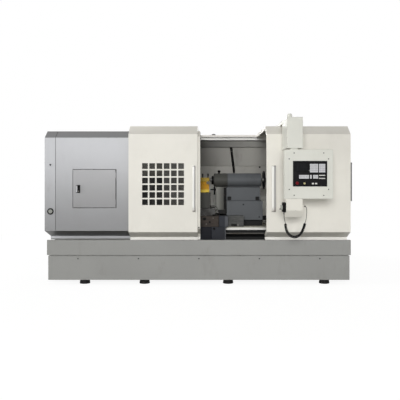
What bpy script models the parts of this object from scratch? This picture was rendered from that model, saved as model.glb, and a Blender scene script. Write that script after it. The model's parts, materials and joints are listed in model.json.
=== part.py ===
"""A flat-bed CNC lathe: base, bed, headstock housing, sliding guards, carriage, tailstock and control arm.

Metres, +Z up. Every piece is placed from the datum: X from the middle of the base, Y back from the
front face of the sliding guards, and Z from the floor. The datum empty then centres the whole machine.
"""

import math

import bmesh
import bpy
from mathutils import Matrix, Vector

# Clearances
SEAT = 0.0003
DOOR_GAP = 0.005
RUNNING = 0.0005
OVERCUT = 0.1

# Base
BASE_LENGTH = 3.885
BASE_DEPTH = 1.620
FOOT_HEIGHT = 0.059
BAND_BOTTOM = 0.378
DECK_Z = 0.540
LIP_TOP = 0.571
BAND_PROUD = 0.013
LIP_THICKNESS = 0.035
SHADOW_GROOVE = 0.010
FOOT_X = (-1.480, -0.705, 0.378, 1.625)
FOOT_INSET = 0.110
FOOT_RADIUS = 0.068
FOOT_EDGE = 0.006
FOOT_BOSS_RADIUS = 0.030
FOOT_BOSS_HEIGHT = 0.009

# Sliding guards: one section, as set back from the front face and heights
GUARD_TOP = 2.042
GUARD_FRONT_TOP = 1.926
GUARD_SLOPE_BACK = 0.165
GUARD_FRONT_BOTTOM = 0.672
GUARD_UNDER_BACK = 0.195
GUARD_UNDER_BOTTOM = 0.590
GUARD_WALL = 0.030
EDGE_RETURN = 0.045
EDGE_RETURN_WIDTH = 0.018
LIP_OFFSET = 0.060
LIP_WALL = 0.020
LIP_REACH = 0.034
LEFT_DOOR_X = (-0.902, -0.018)
RIGHT_DOOR_LEFT = 0.867
RAIL_HEIGHT = 0.0115
RAIL_WIDTH = 0.012

# Window of the left guard
WINDOW_LEFT = -0.7276
WINDOW_BOTTOM = 1.017
WINDOW_CELLS = 6
WINDOW_HOLE = 0.0742
WINDOW_BAR = 0.0183
GLASS = 0.006
GLASS_MARGIN = 0.018

# Pull handles
HANDLE_LENGTH = 0.590
HANDLE_BOTTOM = 0.932
HANDLE_STAND_OFF = 0.052
HANDLE_BAR = 0.014
LEFT_HANDLE_X = (-0.082, -0.047)
RIGHT_HANDLE_X = (0.929, 0.981)

# Headstock housing
HOUSING_OVERHANG = 0.055
HOUSING_FRONT = 0.080
HOUSING_TOP = 1.981
HOUSING_FRONT_TOP = 1.886
HOUSING_SLOPE_BACK = 0.139
HOUSING_FRONT_BOTTOM = 0.680
HOUSING_UNDER_BACK = 0.300
HOUSING_UNDER_BOTTOM = 0.590
HOUSING_RAISED = 0.015
HOUSING_WALL = 0.020
HOUSING_RIGHT = -0.450
END_CAP_WIDTH = 0.1415
INNER_WALL_X = -0.800
INNER_WALL = 0.020

# Service door of the housing
SERVICE_X = (-1.6285, -1.0785)
SERVICE_Z = (0.982, 1.473)
SERVICE_LEAF = 0.020
SERVICE_PROUD = 0.004
HINGE_RADIUS = 0.0055
HINGE_LENGTH = 0.070
LATCH_X = (-1.587, -1.535)
LATCH_Z = (1.173, 1.274)
LATCH_PROUD = 0.014
SIGHT_GLASS_X = -1.921
SIGHT_GLASS_Z = 0.933
SIGHT_GLASS_RADIUS = 0.041
SIGHT_GLASS_PROUD = 0.012

# Rear of the machine
REAR_BEAM_TOP = 2.036
REAR_BEAM_BOTTOM = 1.958
REAR_BEAM_DEPTH = 0.115
REAR_BEAM_LEFT = -1.000
REAR_LEDGE = 0.065
REAR_LEDGE_THICKNESS = 0.0137
CHANNEL_BOTTOM = 1.854
CHANNEL_LIP = 0.015
CHANNEL_DEPTH = 0.080
REAR_WALL_THICKNESS = 0.040
WALL_SEAM_Z = 1.559
WALL_SEAM = 0.006

# Tail end
TAIL_GUARD_LEFT = 1.400
TAIL_GUARD_WALL = 0.015
TAIL_END_WALL = 0.020
VENT_Y = (0.150, 0.450)
VENT_Z = (1.062, 1.569)
VENT_PROUD = 0.055
VENT_SLOTS = 9
VENT_SLOT_DEPTH = 0.012

# Bed and feed screw
SPINDLE_Y = 0.760
SPINDLE_Z = 1.342
BED_X = (-1.700, 1.800)
WAY_TOP = 0.715
WAY_THICKNESS = 0.050
WAY_OUTER = 0.340
WAY_INNER = 0.120
WAY_SPLIT = 0.225
WAY_GROOVE = 0.014
BED_WEB = 0.300
BED_FLOOR = 0.585
BED_FLANGE = 0.360
FLANGE_RISE = 0.015
FLANGE_DROP = 0.010
WALL_SET_BACK = 0.010
SCREW_RADIUS = 0.012
SCREW_Y = 0.385
SCREW_Z = 0.622
SCREW_X = (-0.400, 1.790)
SCREW_BLOCK = 0.060
SCREW_BLOCK_Z = (0.601, 0.661)

# Headstock and chuck
HEADSTOCK_X = (-1.450, -0.8256)
HEADSTOCK_WIDTH = 0.600
HEADSTOCK_TOP = 1.620
CHUCK_RADIUS = 0.200
CHUCK_BACK = -0.790
CHUCK_LENGTH = 0.150
CHUCK_BORE = 0.050
SPINDLE_NOSE_RADIUS = 0.110
NOSE_HOLE_RADIUS = 0.130
JAW_WIDTH = 0.050
JAW_IN = 0.070
JAW_OUT = 0.185
JAW_HEIGHT = 0.045
JAW_ROOT = 0.010
JAW_STEPS = (0.105, 0.145)
CHUCK_EDGE = 0.007

# Carriage
SADDLE_LEFT = -0.090
BRIDGE_RIGHT = 0.284
WING_RIGHT = 0.600
SADDLE_FRONT = 0.385
WING_WIDTH = 0.120
SADDLE_TOP = 0.860
SHELF_FRONT = 0.300
SHELF_RIGHT = 0.386
SHELF_SPLIT_X = 0.262
JOINT_GROOVE = 0.006
JOINT_DEPTH = 0.008
APRON_RIGHT = 0.356
APRON_FRONT = 0.290
APRON_THICKNESS = 0.072
APRON_BOTTOM = 0.548
APRON_SPLIT_X = 0.163
SLIDE_RIGHT = 0.215
SLIDE_Y = (0.400, 1.000)
SLIDE_NECK = 0.035
SLIDE_NECK_HEIGHT = 0.015
SLIDE_TOP = 0.957
POST_X = 0.010
POST_Y = 0.520
POST_SIDE = 0.250
POST_BASE_SIDE = 0.284
POST_BOTTOM = 1.173
POST_TOP = 1.372
POST_SLOT_Z = (1.283, 1.322)
POST_SLOT_DEPTH = 0.036
POST_SCREW_RADIUS = 0.009
POST_SCREW_HEIGHT = 0.055
POST_SCREW_OFFSET = 0.108
POST_SCREW_PITCH = 0.072
TOOL_TIP_X = -0.381
TOOL_Z = 1.236
TOOL_RADIUS = 0.019
TOOL_COLLAR = 0.031
TOOL_COLLAR_LENGTH = 0.040
TOOL_EDGE = 0.006

# Tailstock
TAIL_X = (0.375, 0.870)
TAIL_HALF = 0.220
TAIL_BASE_TOP = 1.055
TAIL_REBATE_TOP = 0.792
TAIL_REBATE_DEPTH = 0.060
TAIL_BODY_RIGHT = 0.842
TAIL_BODY_HALF = 0.150
TAIL_BODY_TOP = 1.2435
BARREL_X = (0.200, 0.864)
BARREL_RADIUS = 0.0945
BARREL_CLAMP_X = 0.383
BARREL_EDGE = 0.008
BARREL_GROOVE = 0.004
BARREL_WEB = 0.068
QUILL_RADIUS = 0.045
QUILL_LEFT = 0.178
QUILL_LENGTH = 0.300
QUILL_REST = 0.010
QUILL_EDGE = 0.004
CENTRE_TIP_X = 0.152
CENTRE_RADIUS = 0.022
CENTRE_POINT = 0.020
COLUMN_X = (0.230, 0.340)
COLUMN_HALF = 0.080
COLUMN_BOTTOM = 0.927
COLUMN_FOOT_LEFT = 0.262
COLUMN_FOOT_CLEARANCE = 0.006
NOTCH = 0.050
NOTCH_Z = 1.086
NOTCH_DEPTH = 0.030
NOTCH_INSET = 0.015
WHEEL_RADIUS = 0.129
WHEEL_RIM = 0.012
WHEEL_X = 0.905
WHEEL_HUB = 0.030
KNOB_X = 0.275
KNOB_RADIUS = 0.020
KNOB_RISE = 0.0415

# Control arm and panel
ARM_X = (1.063, 1.255)
ARM_CLEARANCE = 0.0093
ARM_THICKNESS = 0.0427
ARM_REAR_INSET = 0.010
ARM_HEAD_HEIGHT = 0.3764
ARM_HEAD_REAR = -0.020
ARM_CAP_RADIUS = 0.031
ARM_CAP_HEIGHT = 0.045
ARM_CAP_X = 1.101
ARM_CAP_SET_BACK = 0.046
PANEL_REACH = 0.469
PANEL_X = (1.035, 1.617)
PANEL_DROP = 0.0156
PANEL_HEIGHT = 0.592
PANEL_DEPTH = 0.120
NECK_RADIUS = 0.055
FACE_X = (1.134, 1.545)
FACE_SILL = 0.148
FACE_HEIGHT = 0.307
FACE_THICKNESS = 0.004
STOP_X = 1.183
STOP_RISE = 0.188
STOP_RADIUS = 0.020
STOP_PROUD = 0.036
LOWER_X = (1.052, 1.251)
LOWER_FRONT_HEIGHT = 0.141
LOWER_HEIGHT = 0.222
LOWER_SLOPE_BACK = 0.060
GLAND_DROP = 0.092
GLAND_RADIUS = 0.009
GLAND_LENGTH = 0.024

# Hand pendant and its cord
PENDANT_THICKNESS = 0.040
PENDANT_DROP = 0.044
PENDANT_HEIGHT = 0.116
PENDANT_PROUD = 0.006
PENDANT_DEPTH = 0.100
DIAL_RADIUS = 0.032
DIAL_THICKNESS = 0.020
DIAL_DROP = 0.106
CORD_SET_BACK = 0.039
CORD_RADIUS = 0.004
COIL_RADIUS = 0.017
CORD_ROUTE = [
    (1.2756, 1.018), (1.284, 1.018), (1.293, 1.015), (1.303, 0.998), (1.307, 0.965), (1.305, 0.915),
    (1.300, 0.870), (1.294, 0.843),
    (1.288, 0.816), (1.282, 0.789), (1.273, 0.760), (1.245, 0.705), (1.205, 0.662), (1.160, 0.646),
    (1.118, 0.672), (1.088, 0.715), (1.068, 0.760), (1.059, 0.786), (1.050, 0.812), (1.041, 0.838),
    (1.034, 0.866), (1.032, 0.900), (1.032, 0.9497),
]
CURLY_START = 8
CURLY_STOP = 18

# Coolant pipe on the rear wall
PIPE_TOP = (0.479, 1.851)
PIPE_BOTTOM = (0.526, 1.454)
PIPE_RADIUS = 0.018
PIPE_NOZZLE = 0.030

# Worked out from the sizes above
BASE_HALF = BASE_LENGTH / 2
REAR_FACE = BASE_DEPTH
FRONT_REACH = PANEL_REACH + STOP_PROUD
CENTRE_X = (HOUSING_OVERHANG - VENT_PROUD) / 2
CENTRE_Y = (FRONT_REACH - BASE_DEPTH - BAND_PROUD) / 2
WINDOW_SIDE = WINDOW_CELLS * WINDOW_HOLE + (WINDOW_CELLS - 1) * WINDOW_BAR
HOUSING_LEFT = -BASE_HALF - HOUSING_OVERHANG
SEAM_X = HOUSING_LEFT + END_CAP_WIDTH
BEAM_FRONT = REAR_FACE - REAR_BEAM_DEPTH
GUARD_ROOF_REAR = BEAM_FRONT - DOOR_GAP
COLUMN_FOOT_BOTTOM = SADDLE_TOP + COLUMN_FOOT_CLEARANCE
ARM_BOTTOM = GUARD_TOP + ARM_CLEARANCE
ARM_TOP = ARM_BOTTOM + ARM_THICKNESS
ARM_HEAD_BOTTOM = ARM_TOP - ARM_HEAD_HEIGHT
PANEL_TOP = ARM_HEAD_BOTTOM - PANEL_DROP
PANEL_BOTTOM = PANEL_TOP - PANEL_HEIGHT
GLAND_Z = PANEL_BOTTOM - GLAND_DROP
CORD_Y = CORD_SET_BACK - PANEL_REACH


def clear_scene():
    for obj in list(bpy.data.objects):
        bpy.data.objects.remove(obj, do_unlink=True)


def material(name, colour, roughness, metallic=0.0):
    made = bpy.data.materials.new(name)
    made.use_nodes = True
    shader = made.node_tree.nodes["Principled BSDF"]
    shader.inputs["Base Color"].default_value = (*colour, 1.0)
    shader.inputs["Roughness"].default_value = roughness
    shader.inputs["Metallic"].default_value = metallic
    return made


clear_scene()
datum = bpy.data.objects.new("datum", None)
datum.location = (CENTRE_X, CENTRE_Y, 0.0)
bpy.context.collection.objects.link(datum)

GREY = material("grey_enamel", (0.36, 0.37, 0.36), 0.45)
LIGHT_GREY = material("light_grey_enamel", (0.46, 0.47, 0.46), 0.45)
WHITE = material("white_enamel", (0.70, 0.68, 0.62), 0.4)
DARK = material("dark_machine_enamel", (0.05, 0.055, 0.065), 0.5)
BLACK = material("black_plastic", (0.02, 0.02, 0.02), 0.5)
RUBBER = material("black_rubber", (0.03, 0.03, 0.03), 0.8)
STEEL = material("ground_steel", (0.60, 0.60, 0.58), 0.25, 1.0)
YELLOW = material("yellow_steel", (0.55, 0.40, 0.12), 0.45, 0.6)
CLEAR = material("tinted_window", (0.04, 0.045, 0.04), 0.1)
RED = material("red_plastic", (0.55, 0.02, 0.02), 0.35)


def place(name, shape, finish, origin=(0.0, 0.0, 0.0), smooth=False):
    """Makes the named piece from a bmesh drawn in datum coordinates, with its origin at the point given."""
    bmesh.ops.recalc_face_normals(shape, faces=shape.faces)
    bmesh.ops.translate(shape, verts=shape.verts, vec=-Vector(origin))
    mesh = bpy.data.meshes.new(name)
    shape.to_mesh(mesh)
    shape.free()
    mesh.materials.append(finish)
    if smooth:
        mesh.shade_smooth()
        mesh.set_sharp_from_angle(angle=math.radians(35))
    obj = bpy.data.objects.new(name, mesh)
    bpy.context.collection.objects.link(obj)
    obj.parent = datum
    obj.location = origin
    return obj


def block(x, y, z):
    """A box between the two limits given on each axis."""
    shape = bmesh.new()
    bmesh.ops.create_cube(shape, size=1.0)
    size = Vector((x[1] - x[0], y[1] - y[0], z[1] - z[0]))
    centre = Vector((x[0] + x[1], y[0] + y[1], z[0] + z[1])) / 2
    bmesh.ops.scale(shape, verts=shape.verts, vec=size)
    bmesh.ops.translate(shape, verts=shape.verts, vec=centre)
    return shape


def prism(outline, axis, span):
    """The outline extruded along an axis: (y, z) points along X, (x, z) along Y, and (x, y) along Z."""
    put = {
        "x": lambda a, b: (span[0], a, b),
        "y": lambda a, b: (a, span[0], b),
        "z": lambda a, b: (a, b, span[0]),
    }[axis]
    run = Vector([span[1] - span[0] if letter == axis else 0.0 for letter in "xyz"])
    shape = bmesh.new()
    face = shape.faces.new([shape.verts.new(put(a, b)) for a, b in outline])
    made = bmesh.ops.extrude_face_region(shape, geom=[face])
    moved = [item for item in made["geom"] if isinstance(item, bmesh.types.BMVert)]
    bmesh.ops.translate(shape, verts=moved, vec=run)
    return shape


def turned(profile, axis, centre, steps=40):
    """The profile of (radius, distance along the axis) points turned about the axis through the centre."""
    turn = {
        "x": lambda r, t, c, s: (t, r * c, r * s),
        "y": lambda r, t, c, s: (r * c, t, r * s),
        "z": lambda r, t, c, s: (r * c, r * s, t),
    }[axis]
    shape = bmesh.new()
    rings = []
    for radius, along in profile:
        count = steps if radius > 0 else 1
        angles = [2 * math.pi * step / steps for step in range(count)]
        spots = [Vector(turn(radius, along, math.cos(a), math.sin(a))) for a in angles]
        rings.append([shape.verts.new(spot + Vector(centre)) for spot in spots])
    closed = profile[0][0] > 0
    pairs = list(zip(rings, rings[1:])) + ([(rings[-1], rings[0])] if closed else [])
    for low, high in pairs:
        for step in range(steps):
            after = (step + 1) % steps
            corners = [(low, step), (low, after), (high, after), (high, step)]
            corners = [ring[place % len(ring)] for ring, place in corners]
            shape.faces.new(list(dict.fromkeys(corners)))
    return shape


def inset_path(path, distance):
    """The open (y, z) path moved to its right by the distance, with mitred corners."""
    points = [Vector(point) for point in path]
    rights = []
    for here, there in zip(points, points[1:]):
        along = (there - here).normalized()
        rights.append(Vector((along.y, -along.x)))
    moved = []
    for index, point in enumerate(points):
        before = rights[max(index - 1, 0)]
        after = rights[min(index, len(rights) - 1)]
        moved.append(point + (before + after) * distance / (1 + before.dot(after)))
    return moved


def folded(path, section):
    """A folded sheet: the closed section of (x, offset) points carried along the (y, z) path."""
    shape = bmesh.new()
    lines = {offset: inset_path(path, offset) for _, offset in section}
    rings = []
    for index in range(len(path)):
        rings.append([shape.verts.new((x, *lines[offset][index])) for x, offset in section])
    for low, high in zip(rings, rings[1:]):
        for step in range(len(section)):
            after = (step + 1) % len(section)
            shape.faces.new((low[step], low[after], high[after], high[step]))
    shape.faces.new(rings[0])
    shape.faces.new(rings[-1])
    return shape


def helper(shape):
    """A hidden solid that a Boolean uses."""
    obj = place("helper", shape, GREY)
    obj.hide_render = True
    obj.display_type = "WIRE"
    return obj


def combine(obj, shape, operation):
    modifier = obj.modifiers.new(operation.lower(), "BOOLEAN")
    modifier.operation = operation
    modifier.solver = "EXACT"
    modifier.object = helper(shape)


def cut(obj, shape):
    combine(obj, shape, "DIFFERENCE")


def join(obj, shape):
    combine(obj, shape, "UNION")


def soften(obj, width, segments=2):
    """Rounds the sharp edges of a piece."""
    modifier = obj.modifiers.new("soften", "BEVEL")
    modifier.width = width
    modifier.segments = segments
    modifier.limit_method = "ANGLE"
    modifier.angle_limit = math.radians(40)
    modifier.use_clamp_overlap = True


def guard_path(bottom):
    """The sliding guards' section, from the foot of the front strip round to the rear edge of the roof."""
    return [
        (GUARD_UNDER_BACK, bottom),
        (GUARD_UNDER_BACK, GUARD_UNDER_BOTTOM),
        (0.0, GUARD_FRONT_BOTTOM),
        (0.0, GUARD_FRONT_TOP),
        (GUARD_SLOPE_BACK, GUARD_TOP),
        (GUARD_ROOF_REAR, GUARD_TOP),
    ]


def housing_path():
    """The headstock housing's section, with the step at the rear that the rear beam rests on."""
    under = HOUSING_FRONT + HOUSING_UNDER_BACK
    step = REAR_BEAM_BOTTOM - SEAT
    return [
        (under, DECK_Z + HOUSING_RAISED),
        (under, HOUSING_UNDER_BOTTOM),
        (HOUSING_FRONT, HOUSING_FRONT_BOTTOM),
        (HOUSING_FRONT, HOUSING_FRONT_TOP),
        (HOUSING_FRONT + HOUSING_SLOPE_BACK, HOUSING_TOP),
        (BEAM_FRONT - DOOR_GAP * 2, HOUSING_TOP),
        (BEAM_FRONT - DOOR_GAP * 2, step),
        (REAR_FACE, step),
        (REAR_FACE, DECK_Z + SEAT),
    ]


def bed_section(clearance=0.0):
    """The bed's section about its middle: four ways on two hollow walls over a flanged foot."""
    half = [
        (0.0, BED_FLOOR),
        (WAY_INNER + WALL_SET_BACK, BED_FLOOR),
        (WAY_INNER + WALL_SET_BACK, WAY_TOP - WAY_THICKNESS),
        (WAY_INNER, WAY_TOP - WAY_THICKNESS),
        (WAY_INNER, WAY_TOP),
        (WAY_SPLIT - WAY_GROOVE / 2, WAY_TOP),
        (WAY_SPLIT - WAY_GROOVE / 2, WAY_TOP - WAY_GROOVE),
        (WAY_SPLIT + WAY_GROOVE / 2, WAY_TOP - WAY_GROOVE),
        (WAY_SPLIT + WAY_GROOVE / 2, WAY_TOP),
        (WAY_OUTER, WAY_TOP),
        (WAY_OUTER, WAY_TOP - WAY_THICKNESS),
        (BED_WEB, WAY_TOP - WAY_THICKNESS),
        (BED_WEB, BED_FLOOR + FLANGE_RISE),
        (BED_FLANGE, BED_FLOOR - FLANGE_DROP),
        (BED_FLANGE, DECK_Z + SEAT),
    ]
    if clearance:
        half = [(0.0, WAY_TOP + clearance), (WAY_OUTER + clearance, WAY_TOP + clearance),
                (WAY_OUTER + clearance, WAY_TOP - WAY_THICKNESS - clearance),
                (BED_FLANGE + clearance, BED_FLOOR), (BED_FLANGE + clearance, DECK_Z + SEAT)]
    right = [(SPINDLE_Y + offset, z) for offset, z in half]
    left = [(SPINDLE_Y - offset, z) for offset, z in reversed(half) if offset > 0]
    return right + left


def make_base():
    """The steel base: a lower body, a shadow groove and a proud upper band, with a lip along the front."""
    levels = [
        (FOOT_HEIGHT, 0.0),
        (BAND_BOTTOM - SHADOW_GROOVE, 0.0),
        (BAND_BOTTOM - SHADOW_GROOVE, SHADOW_GROOVE),
        (BAND_BOTTOM + SHADOW_GROOVE, SHADOW_GROOVE),
    ]
    shape = bmesh.new()
    rings = []
    for z, inset in levels:
        x = BASE_HALF - BAND_PROUD - inset
        front, rear = inset, BASE_DEPTH - inset
        corners = ((-x, front, z), (x, front, z), (x, rear, z), (-x, rear, z))
        rings.append([shape.verts.new(corner) for corner in corners])
    for low, high in zip(rings, rings[1:]):
        for step in range(4):
            after = (step + 1) % 4
            shape.faces.new((low[step], low[after], high[after], high[step]))
    shape.faces.new(rings[0])
    shape.faces.new(rings[-1])
    body = place("base_body", shape, GREY)
    behind_lip = LIP_THICKNESS - BAND_PROUD + SEAT
    cut(body, block((-BASE_LENGTH, BASE_LENGTH), (-OVERCUT, behind_lip), (BAND_BOTTOM, LIP_TOP)))
    join(body, block((-BASE_HALF, BASE_HALF), (behind_lip, BASE_DEPTH + BAND_PROUD), (BAND_BOTTOM, DECK_Z)))

    front = -BAND_PROUD
    rail = block((-BASE_HALF, BASE_HALF), (front, front + LIP_THICKNESS), (BAND_BOTTOM + SEAT, LIP_TOP))
    soften(place("base_front_rail", rail, GREY), 0.003)


def make_feet():
    """Round levelling pads under the base, in two rows of four."""
    top = FOOT_HEIGHT - SEAT
    shoulder, edge = top - FOOT_BOSS_HEIGHT, FOOT_EDGE
    profile = [
        (0.0, top), (FOOT_BOSS_RADIUS, top), (FOOT_BOSS_RADIUS, shoulder),
        (FOOT_RADIUS - 1.5 * edge, shoulder), (FOOT_RADIUS - edge, shoulder - edge), (FOOT_RADIUS, edge),
        (FOOT_RADIUS - edge / 2, 0.0), (0.0, 0.0),
    ]
    for row, y in (("front", FOOT_INSET), ("rear", BASE_DEPTH - FOOT_INSET)):
        for number, x in enumerate(FOOT_X, 1):
            shape = turned(profile, "z", (x, y, 0.0), 28)
            place(f"foot_{row}_{number}", shape, RUBBER, (x, y, 0.0), smooth=True)


def make_housing():
    """The grey headstock housing: a folded shell, its solid end cap and the wall behind the chuck."""
    outline = housing_path()
    seam = SEAM_X + SEAT
    shell = [(seam, 0.0), (HOUSING_RIGHT, 0.0), (HOUSING_RIGHT, HOUSING_WALL), (seam, HOUSING_WALL)]
    housing = place("headstock_housing", folded(outline, shell), LIGHT_GREY)
    hole = [(SERVICE_X[0] - DOOR_GAP, SERVICE_X[1] + DOOR_GAP), (0.0, HOUSING_FRONT + HOUSING_WALL * 2),
            (SERVICE_Z[0] - DOOR_GAP, SERVICE_Z[1] + DOOR_GAP)]
    cut(housing, block(*hole))

    cap = list(outline)
    cap[-1] = (REAR_FACE, DECK_Z + HOUSING_RAISED)
    place("housing_end_cap", prism(cap, "x", (HOUSING_LEFT, SEAM_X)), LIGHT_GREY)

    wall = [tuple(point) for point in inset_path(outline, HOUSING_WALL + SEAT)]
    wall[0] = (wall[0][0], DECK_Z + SEAT)
    inner = place("headstock_end_wall", prism(wall, "x", (INNER_WALL_X - INNER_WALL, INNER_WALL_X)), GREY)
    reach = (INNER_WALL_X - 2 * INNER_WALL, INNER_WALL_X + INNER_WALL)
    tunnel = [(y, z if z > DECK_Z + 2 * SEAT else DECK_Z - OVERCUT) for y, z in bed_section(SEAT * 2)]
    cut(inner, prism(tunnel, "x", reach))
    nose = [(0.0, reach[0]), (NOSE_HOLE_RADIUS, reach[0]), (NOSE_HOLE_RADIUS, reach[1]), (0.0, reach[1])]
    cut(inner, turned(nose, "x", (0.0, SPINDLE_Y, SPINDLE_Z)))

    proud = HOUSING_FRONT - SIGHT_GLASS_PROUD
    face = HOUSING_FRONT - SEAT
    ring = SIGHT_GLASS_RADIUS
    profile = [(0.0, proud + 0.005), (ring * 0.62, proud + 0.005), (ring * 0.68, proud), (ring * 0.92, proud),
               (ring, proud + 0.003), (ring, face), (0.0, face)]
    shape = turned(profile, "y", (SIGHT_GLASS_X, 0.0, SIGHT_GLASS_Z), 32)
    place("sight_glass", shape, BLACK, (SIGHT_GLASS_X, face, SIGHT_GLASS_Z), smooth=True)


def make_service_door():
    """The hinged service door in the housing's front, with its hinge barrels and paddle latch."""
    front = HOUSING_FRONT - SERVICE_PROUD
    pivot = (SERVICE_X[1], front, SERVICE_Z[0])
    sheet = block(SERVICE_X, (front, front + SERVICE_LEAF), SERVICE_Z)
    leaf = place("service_door", sheet, LIGHT_GREY, pivot)
    rise = SERVICE_Z[1] - SERVICE_Z[0]
    for share in (0.15, 0.85):
        middle = SERVICE_Z[0] + rise * share
        low, high = middle - HINGE_LENGTH / 2, middle + HINGE_LENGTH / 2
        barrel = [(0.0, low), (HINGE_RADIUS, low), (HINGE_RADIUS, high), (0.0, high)]
        join(leaf, turned(barrel, "z", (SERVICE_X[1], front, 0.0), 16))
    plate = block(LATCH_X, (front - LATCH_PROUD, front - SEAT), LATCH_Z)
    soften(place("service_latch", plate, BLACK), 0.003)


def make_left_door():
    """The left sliding guard with its stepped closing lip, punched window, glass and handle."""
    left, right = LEFT_DOOR_X
    bottom = DECK_Z + SEAT + RAIL_HEIGHT + SEAT
    deep = LIP_OFFSET + LIP_WALL
    lip = right + LIP_REACH
    section = [
        (left, 0.0), (right, 0.0), (right, LIP_OFFSET), (lip, LIP_OFFSET), (lip, deep),
        (right - LIP_WALL, deep), (right - LIP_WALL, GUARD_WALL), (left, GUARD_WALL),
    ]
    door = place("left_door", folded(guard_path(bottom), section), WHITE)
    cut(door, rear_ledge_relief(left - OVERCUT, right + OVERCUT))
    pitch = WINDOW_HOLE + WINDOW_BAR
    for column in range(WINDOW_CELLS):
        x = WINDOW_LEFT + column * pitch
        column_of_holes = bmesh.new()
        for row in range(WINDOW_CELLS):
            z = WINDOW_BOTTOM + row * pitch
            hole = block((x, x + WINDOW_HOLE), (-GUARD_WALL, GUARD_WALL * 2), (z, z + WINDOW_HOLE))
            mesh = bpy.data.meshes.new("hole")
            hole.to_mesh(mesh)
            hole.free()
            column_of_holes.from_mesh(mesh)
        cut(door, column_of_holes)
    glass = block(
        (WINDOW_LEFT - GLASS_MARGIN, WINDOW_LEFT + WINDOW_SIDE + GLASS_MARGIN),
        (GUARD_WALL + SEAT, GUARD_WALL + SEAT + GLASS),
        (WINDOW_BOTTOM - GLASS_MARGIN, WINDOW_BOTTOM + WINDOW_SIDE + GLASS_MARGIN),
    )
    place("left_door_window", glass, CLEAR)
    make_handle("left_door_handle", LEFT_HANDLE_X)


def make_right_door():
    """The right sliding guard: the same folded section, plain, with its handle."""
    left, right = RIGHT_DOOR_LEFT, BASE_HALF
    bottom = DECK_Z + SEAT + RAIL_HEIGHT + SEAT
    section = [
        (left, 0.0), (right, 0.0), (right, EDGE_RETURN), (right - EDGE_RETURN_WIDTH, EDGE_RETURN),
        (right - EDGE_RETURN_WIDTH, GUARD_WALL), (left + EDGE_RETURN_WIDTH, GUARD_WALL),
        (left + EDGE_RETURN_WIDTH, EDGE_RETURN), (left, EDGE_RETURN),
    ]
    door = place("right_door", folded(guard_path(bottom), section), WHITE)
    cut(door, rear_ledge_relief(left - OVERCUT, right + OVERCUT))
    make_handle("right_door_handle", RIGHT_HANDLE_X)


def rear_ledge_relief(left, right):
    """What is cut from under a guard's roof so that it runs along the ledge of the rear beam."""
    front = BEAM_FRONT - REAR_LEDGE - 2 * DOOR_GAP
    return block((left, right), (front, REAR_FACE), (REAR_BEAM_BOTTOM, GUARD_TOP - GUARD_WALL - SEAT / 3))


def make_handle(name, x):
    """A long pull handle: a flat bar folded back to the guard at both ends."""
    out, bar, low = HANDLE_STAND_OFF, HANDLE_BAR, HANDLE_BOTTOM
    high = low + HANDLE_LENGTH
    outline = [
        (-SEAT, low), (-SEAT, low + 2 * bar), (bar - out, low + 2 * bar), (bar - out, high - 2 * bar),
        (-SEAT, high - 2 * bar), (-SEAT, high), (bar - out, high), (-out, high - bar), (-out, low + bar),
        (bar - out, low),
    ]
    soften(place(name, prism(outline, "x", x), GREY), 0.003)


def make_rails():
    """The bar that the guards run on, and the rear beam with its ledge, channel and wall."""
    y = GUARD_UNDER_BACK + GUARD_WALL / 2
    rail = block((-BASE_HALF, BASE_HALF), (y - RAIL_WIDTH / 2, y + RAIL_WIDTH / 2),
                 (DECK_Z + SEAT, DECK_Z + SEAT + RAIL_HEIGHT))
    place("door_rail", rail, STEEL)

    ledge_top = GUARD_TOP - GUARD_WALL - SEAT
    beam = [
        (BEAM_FRONT, REAR_BEAM_BOTTOM), (BEAM_FRONT, ledge_top - REAR_LEDGE_THICKNESS),
        (BEAM_FRONT - REAR_LEDGE, ledge_top - REAR_LEDGE_THICKNESS), (BEAM_FRONT - REAR_LEDGE, ledge_top),
        (BEAM_FRONT, ledge_top), (BEAM_FRONT, REAR_BEAM_TOP), (REAR_FACE, REAR_BEAM_TOP),
        (REAR_FACE, REAR_BEAM_BOTTOM),
    ]
    place("rear_beam", prism(beam, "x", (REAR_BEAM_LEFT, BASE_HALF)), WHITE)

    top = REAR_BEAM_BOTTOM - SEAT
    front = REAR_FACE - CHANNEL_DEPTH
    channel = [
        (front, CHANNEL_BOTTOM), (front, top - CHANNEL_LIP), (front + 2 * CHANNEL_LIP, top - CHANNEL_LIP),
        (front + 2 * CHANNEL_LIP, top), (REAR_FACE, top), (REAR_FACE, CHANNEL_BOTTOM),
    ]
    span = (HOUSING_RIGHT + SEAT, BASE_HALF - TAIL_END_WALL - SEAT)
    place("rear_channel", prism(channel, "x", span), GREY)

    inside = REAR_FACE - REAR_WALL_THICKNESS
    low, top = DECK_Z + SEAT, CHANNEL_BOTTOM - SEAT
    seam = [(0.0, WALL_SEAM_Z - WALL_SEAM), (WALL_SEAM, WALL_SEAM_Z), (0.0, WALL_SEAM_Z + WALL_SEAM)]
    wall = [(inside, low), *((inside + deep, z) for deep, z in seam), (inside, top)]
    wall += [(REAR_FACE, top), *((REAR_FACE - deep, z) for deep, z in reversed(seam)), (REAR_FACE, low)]
    place("rear_wall", prism(wall, "x", span), LIGHT_GREY)


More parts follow.
